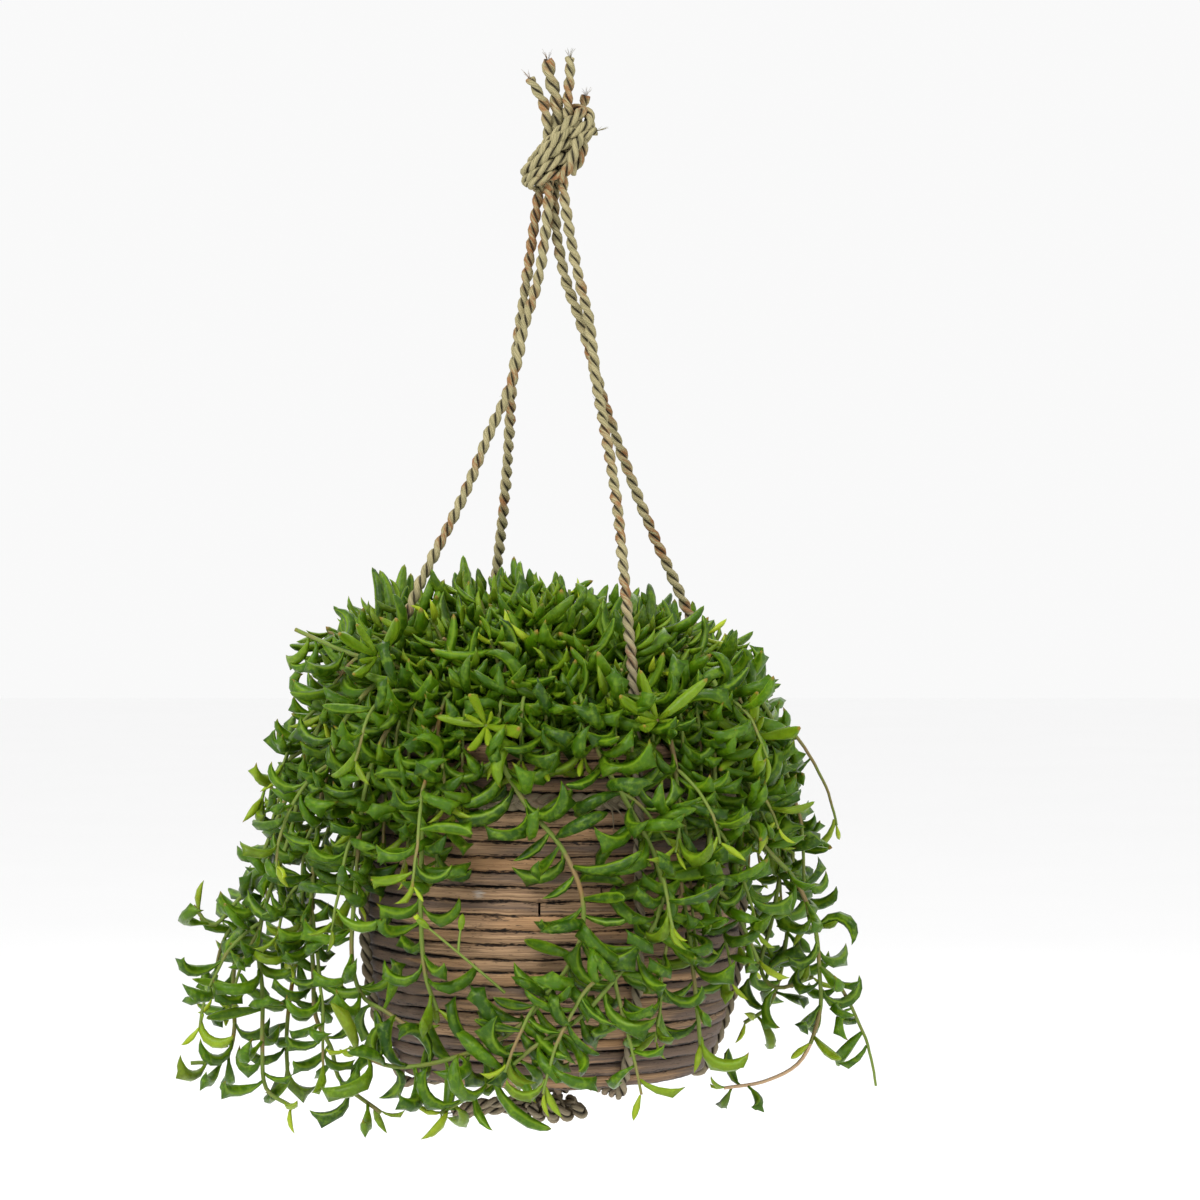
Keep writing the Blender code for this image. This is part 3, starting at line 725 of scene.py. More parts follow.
def make_cane():
    """Cane whose grain follows the attributes that its geometry stores."""
    finish = Finish("split_cane", Specular_IOR_Level=0.35)
    along = finish.attribute("along")
    across = finish.attribute("across")
    shade = finish.attribute("shade")
    depth = finish.add("ShaderNodeSeparateXYZ", None, {"Vector": finish.place()}).out("Y")
    # painted light and wear: the front of the wall is paler than its sides
    worn_and_lit = finish.step(depth, WORN_AND_LIT_FROM, WORN_AND_LIT_TO)
    streaks = finish.clouds(finish.vector(along * 22.0, across * 5.0, shade * 40.0), 1.0, 5.0, 0.7)
    fine = finish.clouds(finish.vector(along * 60.0, across * 16.0, shade * 90.0), 1.0, 3.0, 0.6)
    blotches = finish.clouds(finish.vector(along * 14.0, across * 0.8, shade * 70.0), 1.0, 3.0, 0.6)
    marks = finish.clouds(finish.vector(along * 90.0, across * 3.5, shade * 20.0), 1.0, 4.0, 0.7)
    flecks = finish.clouds(finish.vector(along * 420.0, across * 7.0, shade * 60.0), 1.0, 3.0, 0.6)
    golden = finish.clouds(finish.vector(along * 7.0, 0.0, shade * 31.0), 1.0, 2.0)
    colour = finish.mix(finish.step(streaks, 0.38, 0.62), CANE_TAN, CANE_PALE)
    colour = finish.mix(finish.step(golden, 0.45, 0.65, 0.0, 0.6), colour, CANE_HONEY)
    # grey weathering in patches, with painted shade that greys the sides and back more than the front
    dull = finish.step(blotches + shade * 0.36 - worn_and_lit * 0.30, 0.40, 0.60)
    colour = finish.mix(dull * 0.85, colour, CANE_GREY)
    colour = finish.mix(finish.step(fine, 0.5, 0.68, 0.0, 0.6), colour, CANE_TAN)
    rough_edge = (marks - 0.5) * 1.2 + (flecks - 0.5) * 0.8
    # dark rims of bark at the row edges, deepened as painted shade in the seams between the rows
    bark = finish.step(abs(across) + rough_edge - worn_and_lit * 0.05, 0.68, 0.88)
    scuffs = finish.step(marks + (flecks - 0.5) * 0.6, 0.60, 0.70)
    colour = finish.mix((bark * 0.95 + scuffs * 0.8).at_most(1.0), colour, CANE_BARK_AND_SEAM_SHADE)
    for smear in SMEARS:
        away = finish.add("ShaderNodeVectorMath", {"operation": "DISTANCE"}, {0: finish.place(), 1: smear}, "Value")
        chalk = finish.step(away + (marks - 0.5) * SMEAR_REACH, SMEAR_REACH, SMEAR_REACH / 2)
        colour = finish.mix(chalk * 0.9, colour, CHALK)
    height = streaks * 0.6 + fine * 0.4 - bark * 0.4
    return finish.paint(colour, 0.45 + streaks * 0.35, height, 0.0009)


cane = make_cane()
print("cane ready")

# %% [markdown]
# ## The rows of the wall
# All rows follow one rule, so one geometry tree makes them: an arc with a small gap at its joint, pushed
# about by a noise, skinned with the outline of a split cane. The tree has an input for each size. The
# gap is a butt joint, where the two ends of a hoop meet. Set Position after the skinning makes the
# edges ragged.

# %% Build the tree for a hoop
HOOP_STEPS = 176
EDGE_RAGGED = 0.3
HOOP_WANDER = 0.55
HOOP_BULGE = 0.022  # in parts of the radius
HOOP_THINNING = 4.5


def new_tree(name, sockets):
    """A geometry tree with named inputs, each a name and a type."""
    tree = bpy.data.node_groups.new(name, "GeometryNodeTree")
    tree.interface.new_socket(name="Geometry", in_out="OUTPUT", socket_type="NodeSocketGeometry")
    for socket, kind in sockets:
        tree.interface.new_socket(name=socket, in_out="INPUT", socket_type=f"NodeSocket{kind}")
    return tree


def grown(host, tree, values):
    """Run a tree on an object and give its result as a plain mesh."""
    modifier = host.modifiers.new("tree", "NODES")
    modifier.node_group = tree
    for item in tree.interface.items_tree:
        if item.in_out == "INPUT" and item.name in values:
            modifier[item.identifier] = values[item.name]
    bpy.context.view_layer.update()
    result = bpy.data.meshes.new_from_object(host.evaluated_get(bpy.context.evaluated_depsgraph_get()))
    bpy.data.objects.remove(host)
    return outward_faces(result)


def helper(name, data):
    """An object that only carries data to a geometry tree."""
    made = bpy.data.objects.new(name, data)
    bpy.context.scene.collection.objects.link(made)
    made.hide_render = True
    return made


def named(n, name, kind="FLOAT"):
    """An attribute of the points, by its name."""
    return n.add("GeometryNodeInputNamedAttribute", {"data_type": kind}, {"Name": name}).out("Attribute")


def section_curve(name, outline):
    """A closed outline of (across, up) points as a curve."""
    data = bpy.data.curves.new(name, "CURVE")
    data.dimensions = "3D"
    spline = data.splines.new("POLY")
    spline.points.add(len(outline) - 1)
    for point, (across, up) in zip(spline.points, outline):
        point.co = (across, up, 0.0, 1.0)
    spline.use_cyclic_u = True
    return helper(name, data)


# Out from the inner face, in parts of the depth, and up from the middle, in halves of the height
CANE_OUTLINE = [(0.0, -0.9), (0.35, -1.0), (0.7, -0.97), (0.88, -0.78), (0.97, -0.45), (1.0, 0.0),
                (0.97, 0.45), (0.88, 0.78), (0.7, 0.97), (0.35, 1.0), (0.0, 0.9), (0.0, 0.0)]
section = section_curve("cane_section", CANE_OUTLINE)


def build_hoop_tree():
    """Arc, wander, skin with the section, ragged edges."""
    tree = new_tree("hoop_of_cane", [
        ("Section", "Object"), ("Radius", "Float"), ("Level", "Float"), ("Height", "Float"),
        ("Depth", "Float"), ("Joint", "Float"), ("Sweep", "Float"), ("Shade", "Float"), ("Seed", "Float"),
    ])
    n = Nodes(tree)
    given = n.add("NodeGroupInput")
    arc = n.add("GeometryNodeCurveArc", {"mode": "RADIUS"}, {
        "Resolution": HOOP_STEPS, "Radius": given.out("Radius") - given.out("Depth"),
        "Start Angle": given.out("Joint"), "Sweep Angle": given.out("Sweep")})
    turned_up = n.add("GeometryNodeSetCurveNormal", {"mode": "Z_UP"}, {"Curve": arc})
    along = n.add("GeometryNodeSplineParameter").out("Length")
    curve = n.add("GeometryNodeStoreNamedAttribute", {"data_type": "FLOAT", "domain": "POINT"},
                  {"Geometry": turned_up, "Name": "along", "Value": along + given.out("Seed")})
    place = n.add("GeometryNodeInputPosition")
    wander = n.add("ShaderNodeTexNoise", {"noise_dimensions": "4D"},
                   {"Vector": place, "W": given.out("Seed"), "Scale": 22.0, "Detail": 1.0})
    lift = n.vector(0.0, 0.0, given.out("Level") + (wander - 0.5) * (HOOP_WANDER * MM * 2))
    bulge = n.add("ShaderNodeTexNoise", {"noise_dimensions": "4D"},
                  {"Vector": place, "W": given.out("Seed") + 9.0, "Scale": 30.0, "Detail": 2.0})
    out = n.add("ShaderNodeVectorMath", {"operation": "SCALE"}, {0: place, "Scale": (bulge - 0.5) * HOOP_BULGE})
    move = n.add("ShaderNodeVectorMath", {"operation": "ADD"}, {0: lift, 1: out})
    curve = n.add("GeometryNodeSetPosition", None, {"Geometry": curve, "Offset": move})
    profile = n.add("GeometryNodeObjectInfo", None, {"Object": given.out("Section")}).out("Geometry")
    spot = n.add("ShaderNodeSeparateXYZ", None, {"Vector": place})
    profile = n.add("GeometryNodeStoreNamedAttribute", {"data_type": "FLOAT", "domain": "POINT"},
                    {"Geometry": profile, "Name": "across", "Value": spot.out("Y")})
    size = n.vector(given.out("Depth"), given.out("Height") / 2, 1.0)
    profile = n.add("GeometryNodeTransform", None, {"Geometry": profile, "Scale": size})
    skin = n.add("GeometryNodeCurveToMesh", None,
                 {"Curve": curve, "Profile Curve": profile, "Fill Caps": True})
    rough = n.add("ShaderNodeTexNoise", {"noise_dimensions": "4D"},
                  {"Vector": place, "W": given.out("Seed"), "Scale": 260.0, "Detail": 2.0})
    push = n.add("ShaderNodeVectorMath", {"operation": "SCALE"}, {
        0: n.add("ShaderNodeVectorMath", {"operation": "SUBTRACT"}, {0: rough.out("Color"), 1: (0.5, 0.5, 0.5)}),
        "Scale": EDGE_RAGGED * MM * 2})
    skin = n.add("GeometryNodeSetPosition", None, {"Geometry": skin, "Offset": push})
    thin = n.add("ShaderNodeTexNoise", {"noise_dimensions": "4D"},
                 {"Vector": place, "W": given.out("Seed") + 17.0, "Scale": 34.0, "Detail": 2.0})
    drawn_in = n.vector(0.0, 0.0, named(n, "across") * (thin - 0.42).at_least(0.0) * (-HOOP_THINNING * MM))
    skin = n.add("GeometryNodeSetPosition", None, {"Geometry": skin, "Offset": drawn_in})
    skin = n.add("GeometryNodeStoreNamedAttribute", {"data_type": "FLOAT", "domain": "POINT"},
                 {"Geometry": skin, "Name": "shade", "Value": given.out("Shade")})
    skin = n.add("GeometryNodeSetShadeSmooth", None, {"Geometry": skin})
    skin = n.add("GeometryNodeRealizeInstances", None, {"Geometry": skin})
    skin = n.add("GeometryNodeSetMaterial", None, {"Geometry": skin, "Material": cane})
    n.add("NodeGroupOutput", None, {"Geometry": skin})
    return tree


hoop_tree = build_hoop_tree()
print("hoop tree has", len(hoop_tree.nodes), "nodes")

# %% Stack the hoops
JOINT_GAP = 0.8
ROW_GAP = 0.4
FRONT_JOINTS = {2: -2.04, 9: -1.30, 10: -1.62, 12: -1.34}  # hoop and angle; the other joints are at the back
dice = random.Random(4)
hoop = 0
for row, (top, bottom) in enumerate(ROW_EDGES):
    if row == BRAID_ROW:
        continue
    hoop += 1
    radius = barrel_radius((top + bottom) / 2)
    joint = FRONT_JOINTS.get(hoop, dice.uniform(0.3, 2.8))
    values = {
        "Section": section,
        "Radius": radius * MM,
        "Level": (top + bottom) / 2 * MM,
        "Height": (top - bottom - ROW_GAP) * MM,
        "Depth": CANE_DEPTH * MM,
        "Joint": joint,
        "Sweep": math.tau - JOINT_GAP / radius,
        "Shade": dice.uniform(0.0, 1.0),
        "Seed": dice.uniform(0.0, 50.0),
    }
    host = helper("hoop_host", bpy.data.meshes.new("hoop_host"))
    name = f"cane_hoop_{hoop:02d}"
    add_piece(f"{name}_split", grown(host, hoop_tree, values), cane, [name])

# %% [markdown]
# ## The braided ring
# The fourth row from the rim is a flat plait of seagrass. In a plait of three, each strand swings from
# side to side, and passes over and under twice in each swing. So its height is a sine of the way round
# the basket, its depth is a sine of twice that, and the three strands are a third of a swing apart.

# %% Plait the ring
BRAID_SWINGS = 27
BRAID_HALF_WIDTH = 2.2
BRAID_HALF_DEPTH = 1.5
BRAID_STEPS = 700
BRAID_SIDES = 10
BRAID_GAP_ANGLE = 0.012  # where the ends of the plait meet, at the back
LOOSE_FIBRES = [
    [(26, -90, -303), (30, -92.5, -308), (31, -93, -318)],
    [(28, -90, -304), (33, -92, -308), (37, -91.5, -313)],
]


def plait_ring(skin, radius, level):
    """Three flat strands plaited round the basket."""
    swing_height = BRAID_HEIGHT / 2 - BRAID_HALF_WIDTH
    turn = np.linspace(math.pi / 2 + BRAID_GAP_ANGLE, math.pi / 2 + math.tau - BRAID_GAP_ANGLE, BRAID_STEPS)
    for strand in range(3):
        swing = turn * BRAID_SWINGS + math.tau * strand / 3
        away = radius + BRAID_HALF_DEPTH * 0.8 * np.sin(2 * swing)
        path = np.stack([away * np.cos(turn), away * np.sin(turn), level + swing_height * np.sin(swing)], axis=1)
        along = turn * radius
        forward = unit(np.gradient(path, axis=0))
        outward = np.stack([np.cos(turn), np.sin(turn), np.zeros_like(turn)], axis=1)
        side = unit(np.cross(forward, outward))
        outward = np.cross(side, forward)
        around = math.tau * np.arange(BRAID_SIDES) / BRAID_SIDES
        ridges = 1 + 0.06 * np.cos(5 * around[None] + along[:, None] * 0.3 + strand)
        wide = BRAID_HALF_WIDTH * np.sin(around)[None, :, None] * side[:, None]
        deep = -BRAID_HALF_DEPTH * np.cos(around)[None, :, None] * outward[:, None]
        skin.add_rings(path[:, None] + (wide + deep) * ridges[:, :, None], along + 300.0 * strand)


top, bottom = ROW_EDGES[BRAID_ROW]
braid_level = (top + bottom) / 2
skin = Skin()
plait_ring(skin, barrel_radius(braid_level) - 1.6, braid_level)
for route in LOOSE_FIBRES:
    fibre, along = evenly(route, 1.5)
    skin.add_tube(fibre, along, np.linspace(0.5, 0.25, len(fibre)), 5)
braid_finish = make_seagrass("plaited_seagrass", -0.24, -0.32)
add_piece("braided_ring_plait", outward_faces(skin.mesh("braided_ring_plait")), braid_finish, ["braided_ring"])

# %% [markdown]
# ## Ribs and floor
# Four upright splints inside the wall hold the rows, and the floor is a coil of cane. They hardly show,
# but somebody who looks under the basket sees the floor. A spiral path with a flattened section makes
# it. The cane finish needs its three numbers here too, and the UV map already holds them.

# %% Make the ribs and the floor
RIB_COUNT = 4
RIB_WIDTH = 8.0
RIB_THICKNESS = 2.4
FIRST_RIB_ANGLE = 35.0
FLOOR_THICKNESS = 4.0
RING_SEGMENTS = 20
FLOOR_EDGE = 68.0
COIL_PITCH = 6.2


def add_cane_numbers(mesh, shade):
    """Store the numbers that the cane finish reads, from the mesh's own grain map."""
    uv = np.zeros(len(mesh.loops) * 2, np.float32)
    mesh.uv_layers["grain"].data.foreach_get("uv", uv)
    uv = uv.reshape(-1, 2)
    across = 1 - 2 * np.abs(2 * ((uv[:, 1] + 0.25) % 1.0) - 1)
    for name, values in (("along", uv[:, 0]), ("across", across), ("shade", np.full(len(uv), shade))):
        made = mesh.attributes.new(name, "FLOAT", "CORNER")
        made.data.foreach_set("value", values.astype(np.float32))


def flat_ring(path, along, across, up, half_width, half_height):
    """Rings of a flattened section with given directions across it."""
    around = math.tau * np.arange(12) / 12
    rounded = np.sign(np.cos(around)) * np.abs(np.cos(around)) ** 0.6
    tall = np.sign(np.sin(around)) * np.abs(np.sin(around)) ** 0.6
    return (path[:, None] + half_width * rounded[None, :, None] * across[:, None]
            + half_height * tall[None, :, None] * up[:, None])


for number in range(RIB_COUNT):
    turn = FIRST_RIB_ANGLE + 360 / RIB_COUNT * number
    heights = np.linspace(BASE_Z + FLOOR_THICKNESS + 0.6, RIM_Z - 3.0, 40)
    inner = [min(barrel_radius(z - 6), barrel_radius(z + 6)) * math.cos(math.pi / RING_SEGMENTS) for z in heights]
    path = np.array([on_circle(turn, r - CANE_DEPTH - RIB_THICKNESS / 2 - 0.5, z) for r, z in zip(inner, heights)])
    outward = np.tile(on_circle(turn, 1, 0), (len(path), 1))
    sideways = np.tile(on_circle(turn + 90, 1, 0), (len(path), 1))
    skin = Skin()
    skin.add_rings(flat_ring(path, heights, sideways, outward, RIB_WIDTH / 2, RIB_THICKNESS / 2), heights)
    name = f"rib_{number + 1}"
    mesh = outward_faces(skin.mesh(f"{name}_splint"))
    add_cane_numbers(mesh, 0.3 + 0.1 * number)
    add_piece(f"{name}_splint", mesh, cane, [name])

turns = FLOOR_EDGE / COIL_PITCH
angle = np.linspace(0.6 * math.tau, (turns - 0.5) * math.tau, 900)
radius = COIL_PITCH * angle / math.tau
path = np.stack([radius * np.cos(angle), radius * np.sin(angle), np.full_like(angle, BASE_Z + 2.1)], axis=1)
along = np.concatenate([[0], np.cumsum(np.linalg.norm(np.diff(path, axis=0), axis=1))])
outward = np.stack([np.cos(angle), np.sin(angle), np.zeros_like(angle)], axis=1)
upward = np.tile((0.0, 0.0, 1.0), (len(path), 1))
skin = Skin()
skin.add_rings(flat_ring(path, along, outward, upward, COIL_PITCH / 2 - 0.1, FLOOR_THICKNESS / 2 - 0.1), along)
mesh = outward_faces(skin.mesh("basket_floor_coil"))
add_cane_numbers(mesh, 0.8)
add_piece("basket_floor_coil", mesh, cane, ["basket_floor"])

# %% [markdown]
# ## The nursery pot and its soil
# The plant still grows in the thin plastic pot it was raised in. Its outline is spun round the axis: a
# thin wall, a rolled lip and a step under it. The soil is a heap with a rough surface, with crumbs of
# bark and white perlite scattered on it.

# %% Spin the pot
POT_BASE_RADIUS = 58.0
POT_TOP_RADIUS = 74.0
POT_LIP_RADIUS = 77.0
POT_TOP_Z = -303.0
POT_LIP_HEIGHT = 8.0
POT_WALL = 1.4
SOIL_Z = -314.0
POT_SEGMENTS = 96
POT_FOOT = BASE_Z + FLOOR_THICKNESS + TOUCH


def pot_radius(height):
    """The outer radius of the pot's wall."""
    return POT_BASE_RADIUS + (POT_TOP_RADIUS - POT_BASE_RADIUS) * (height - POT_FOOT) / (POT_TOP_Z - POT_FOOT)


def spun(name, outline):
    """A closed outline of (radius, height) points turned once round the axis."""
    turns = math.tau * np.arange(POT_SEGMENTS) / POT_SEGMENTS
    bm = bmesh.new()
    columns = [[bm.verts.new((r * math.cos(a) * MM, r * math.sin(a) * MM, z * MM)) for r, z in outline] for a in turns]
    for column, after in zip(columns, columns[1:] + columns[:1]):
        for at in range(len(outline)):
            follow = (at + 1) % len(outline)
            bm.faces.new((column[at], after[at], after[follow], column[follow]))
    bmesh.ops.remove_doubles(bm, verts=bm.verts, dist=1e-6)
    bmesh.ops.recalc_face_normals(bm, faces=bm.faces)
    mesh = bpy.data.meshes.new(name)
    bm.to_mesh(mesh)
    bm.free()
    mesh.shade_smooth()
    mesh.set_sharp_from_angle(angle=math.radians(40))
    return mesh


def make_plastic():
    finish = Finish("pot_plastic", Specular_IOR_Level=0.5)
    place = finish.place()
    dust = finish.clouds(place, 60.0, 4.0)
    scuffs = finish.clouds(finish.stretched(place, (300.0, 300.0, 40.0)), 1.0, 3.0)
    colour = finish.mix(finish.step(dust, 0.45, 0.75), (0.022, 0.018, 0.016), (0.07, 0.055, 0.045))
    return finish.paint(colour, 0.35 + dust * 0.35, scuffs, 0.0002)


lip_z = POT_TOP_Z - POT_LIP_HEIGHT
pot_outline = [
    (0.0, POT_FOOT), (pot_radius(POT_FOOT) - 3, POT_FOOT), (pot_radius(POT_FOOT), POT_FOOT + 3),
    (pot_radius(lip_z - 1), lip_z - 1), (POT_LIP_RADIUS - 0.6, lip_z), (POT_LIP_RADIUS, lip_z + 1),
    (POT_LIP_RADIUS, POT_TOP_Z - 1), (POT_LIP_RADIUS - 1, POT_TOP_Z), (POT_TOP_RADIUS - POT_WALL + 0.6, POT_TOP_Z),
    (POT_TOP_RADIUS - POT_WALL - 0.3, POT_TOP_Z - 1), (pot_radius(POT_FOOT + POT_WALL) - POT_WALL, POT_FOOT + POT_WALL),
    (0.0, POT_FOOT + POT_WALL),
]
add_piece("nursery_pot_shell", spun("nursery_pot_shell", pot_outline), make_plastic(), ["nursery_pot"])

# %% Fill in the soil
SOIL_RINGS = 20
SOIL_ROUGHNESS = 1.6
CRUMBS_PER_AREA = 42000.0  # per square metre


def soil_outline():
    """From the middle of the top out to the wall, then down to the foot."""
    room = POT_WALL + TOUCH
    top = pot_radius(SOIL_Z) - room
    foot_z = POT_FOOT + POT_WALL + TOUCH
    foot = pot_radius(foot_z) - room
    rings = [(top * part / SOIL_RINGS, SOIL_Z - 1.2) for part in range(SOIL_RINGS + 1)]
    return rings + [(foot, foot_z), (0.0, foot_z)]


def make_soil():
    finish = Finish("potting_soil", Specular_IOR_Level=0.15)
    place = finish.place()
    shade = finish.attribute("shade")
    grit = finish.clouds(place, 700.0, 3.0, 0.7)
    colour = finish.mix(finish.step(grit, 0.35, 0.7), (0.018, 0.011, 0.007), (0.07, 0.043, 0.025))
    colour = finish.mix(finish.step(shade, 0.80, 0.82), colour, (0.62, 0.60, 0.55))
    return finish.paint(colour, 0.85 + grit * 0.15, grit, 0.0008)


def build_crumb_tree(material):
    """Crumbs on the upward faces, each a small rough stone, turned and sized at random."""
    tree = new_tree("crumbs", [("Soil", "Geometry"), ("Density", "Float"), ("Crumb", "Float")])
    n = Nodes(tree)
    given = n.add("NodeGroupInput")
    soil = given.out("Soil")
    up = n.add("ShaderNodeSeparateXYZ", None, {"Vector": n.add("GeometryNodeInputNormal")}).out("Z")
    facing = n.add("FunctionNodeCompare", {"operation": "GREATER_THAN"}, {0: up, 1: 0.7})
    spots = n.add("GeometryNodeDistributePointsOnFaces", {"distribute_method": "RANDOM"},
                  {"Mesh": soil, "Selection": facing, "Density": given.out("Density"), "Seed": 3})
    stone = n.add("GeometryNodeMeshIcoSphere", None, {"Radius": given.out("Crumb"), "Subdivisions": 1})
    spin = n.add("FunctionNodeRandomValue", {"data_type": "FLOAT_VECTOR"},
                 {"Min": (0, 0, 0), "Max": (6.3, 6.3, 6.3), "Seed": 5})
    size = n.add("FunctionNodeRandomValue", {"data_type": "FLOAT_VECTOR"},
                 {"Min": (0.4, 0.4, 0.3), "Max": (1.5, 1.2, 0.8), "Seed": 7})
    shade = n.add("FunctionNodeRandomValue", {"data_type": "FLOAT"}, {2: 0.0, 3: 1.0, "Seed": 9}, out=1)
    spots = n.add("GeometryNodeStoreNamedAttribute", {"data_type": "FLOAT", "domain": "POINT"},
                  {"Geometry": spots, "Name": "shade", "Value": shade})
    crumbs = n.add("GeometryNodeInstanceOnPoints", None,
                   {"Points": spots, "Instance": stone, "Rotation": spin, "Scale": size})
    joined = n.add("GeometryNodeJoinGeometry")
    tree.links.new(soil.socket, joined.node.inputs[0])
    tree.links.new(crumbs.socket, joined.node.inputs[0])
    real = n.add("GeometryNodeRealizeInstances", None, {"Geometry": joined})
    painted = n.add("GeometryNodeSetMaterial", None, {"Geometry": real, "Material": material})
    n.add("NodeGroupOutput", None, {"Geometry": painted})
    return tree


soil_finish = make_soil()
soil_mesh = spun("soil_heap", soil_outline())
for vert in soil_mesh.vertices:
    if vert.co.z > (SOIL_Z - 2) * MM:
        vert.co.z += SOIL_ROUGHNESS * MM * noise.noise(vert.co * 90)
crumb_values = {"Density": CRUMBS_PER_AREA, "Crumb": 1.1 * MM}
soil_mesh = grown(helper("soil_host", soil_mesh), build_crumb_tree(soil_finish), crumb_values)
add_piece("soil_heap", soil_mesh, soil_finish, ["soil"])

# %% [markdown]
# ## One leaf
# The plant is named for its leaves. Each is a fat crescent with a pointed tip that curls up, and with
# one or two small fins under it, so it looks like a leaping dolphin. A leaf that is repeated a few
# thousand times must be light, so it is made of some forty faces: seven rings of six corners, a tip, and
# fins that are only the lowest corner of a ring pulled out. A pale line runs along the upper edge.

# %% Shape the leaves
LEAF_CORNERS = 6  # of a ring: 0 is the upper edge, 3 the lower edge, 2 and 4 the lower sides
GROWN_RINGS = [  # of each ring: how far from foot to tip, half of its height and half of its width
    (0.0, 0.75, 0.8), (0.12, 1.0, 1.05), (0.26, 2.1, 2.2), (0.42, 2.8, 2.9), (0.57, 3.0, 3.1),
    (0.70, 2.8, 2.8), (0.81, 2.2, 2.1), (0.91, 1.1, 0.9),
]
FINGER_RINGS = [
    (0.0, 0.9, 1.0), (0.20, 1.8, 2.2), (0.45, 2.5, 3.1), (0.70, 2.3, 2.8), (0.86, 1.7, 2.0), (0.95, 1.0, 1.2),
]
YOUNG_RINGS = [(0.0, 0.7, 0.8), (0.15, 1.2, 1.5), (0.4, 1.8, 2.7), (0.65, 1.6, 2.3), (0.85, 0.8, 1.1)]
BUD_RINGS = [(0.0, 0.5, 0.5), (0.15, 1.7, 1.7), (0.5, 2.3, 2.3), (0.8, 1.6, 1.6)]
LEAF_KINDS = [  # name, rings, length, slope at the foot and at the tip, fins: ring, corner, out, forward
    ("leaf_a", GROWN_RINGS, 31.0, (-64, 84), [(5, 3, 3.3, 1.3)]),
    ("leaf_b", GROWN_RINGS, 33.0, (-70, 94), [(6, 2, 2.6, 1.0), (3, 3, 1.6, -0.3)]),
    ("leaf_c", GROWN_RINGS, 33.0, (-82, 102), [(5, 4, 3.2, 1.4)]),
    ("leaf_d", GROWN_RINGS, 31.0, (-50, 66), [(6, 2, 2.6, 0.9), (6, 4, 3.0, 0.6)]),
    ("leaf_e", GROWN_RINGS, 29.0, (-58, 74), [(5, 3, 3.0, 1.0)]),
    ("leaf_f", FINGER_RINGS, 30.0, (-26, 40), [(3, 4, 1.2, 0.5)]),
    ("leaf_g", FINGER_RINGS, 32.0, (-34, 18), []),
    ("leaf_h", YOUNG_RINGS, 22.0, (-28, 38), []),
    ("leaf_i", YOUNG_RINGS, 24.0, (-38, 48), [(3, 3, 1.6, 0.8)]),
    ("leaf_j", BUD_RINGS, 10.0, (-4, 4), []),
    ("leaf_k", FINGER_RINGS, 31.0, (-18, 58), [(3, 2, 1.2, 0.5)]),
]
TRAILING_KINDS = (0, 1, 2, 3, 4, 0, 1, 2, 5)
FINGER_KINDS = (5, 6, 10)
MOUND_KINDS = (*FINGER_KINDS, *FINGER_KINDS, 4)
EDGE_LINES = {0: 0.35, 1: 1.0, 5: 1.0}  # two pale lines along the upper side, and the groove between them
YOUNG_KINDS = (7, 8)
BUD_KIND = 9


def crescent(length, slopes, share):
    """The place at a share of the way along an arc that bends evenly, and the slope there."""
    start, end = (math.radians(slope) for slope in slopes)
    slope = start + (end - start) * share
    bow = length / (end - start)
    place = Vector((bow * (math.sin(slope) - math.sin(start)), 0, bow * (math.cos(start) - math.cos(slope))))
    return place, slope


def leaf_mesh(name, rings, length, slopes, fins):
    """A leaf that grows along +X, with its hollow side up."""
    points = []
    edge = []
    reach = []
    for at, (share, half_height, half_width) in enumerate(rings):
        middle, slope = crescent(length, slopes, share)
        ahead = Vector((math.cos(slope), 0, math.sin(slope)))
        above = Vector((-math.sin(slope), 0, math.cos(slope)))
        for corner in range(LEAF_CORNERS):
            turn = math.tau * corner / LEAF_CORNERS + math.pi / 2
            out = above * half_height * math.sin(turn) + Vector((0, half_width * math.cos(turn), 0))
            for ring, fin_corner, length_out, forward in fins:
                if (ring, fin_corner) == (at, corner):
                    out += out.normalized() * length_out + ahead * forward
            points.append(middle + out)
            edge.append(EDGE_LINES.get(corner, 0.0))
            reach.append(share)
    points.append(crescent(length, slopes, 1.0)[0])
    edge.append(1.0)
    reach.append(1.0)
    faces = [tuple(range(LEAF_CORNERS))]
    for low in range(0, (len(rings) - 1) * LEAF_CORNERS, LEAF_CORNERS):
        for corner in range(LEAF_CORNERS):
            after = (corner + 1) % LEAF_CORNERS
            faces.append((low + corner, low + after, low + LEAF_CORNERS + after, low + LEAF_CORNERS + corner))
    low = (len(rings) - 1) * LEAF_CORNERS
    faces += [(low + corner, low + (corner + 1) % LEAF_CORNERS, len(points) - 1) for corner in range(LEAF_CORNERS)]
    mesh = bpy.data.meshes.new(name)
    mesh.from_pydata([point * MM for point in points], [], faces)
    outward_faces(mesh)
    mesh.shade_smooth()
    for attribute, values in (("edge", edge), ("reach", reach)):
        mesh.attributes.new(attribute, "FLOAT", "POINT").data.foreach_set("value", values)
    return mesh


leaf_shapes = bpy.data.collections.new("leaf_shapes")
for name, rings, length, slopes, fins in LEAF_KINDS:
    shape = bpy.data.objects.new(name, leaf_mesh(name, rings, length, slopes, fins))
    leaf_shapes.objects.link(shape)
    print(name, "has", len(shape.data.polygons), "faces")

# %% [markdown]
# ## The living green
# The leaves are matte with a soft sheen. No two are the same green: old ones are dark, and the young
# ones at the tips are yellow-green. Each leaf gets a tone of its own, stored by the geometry. The pale
# line on the upper edge lets light in. Some stems are flushed red where the sun reached them.

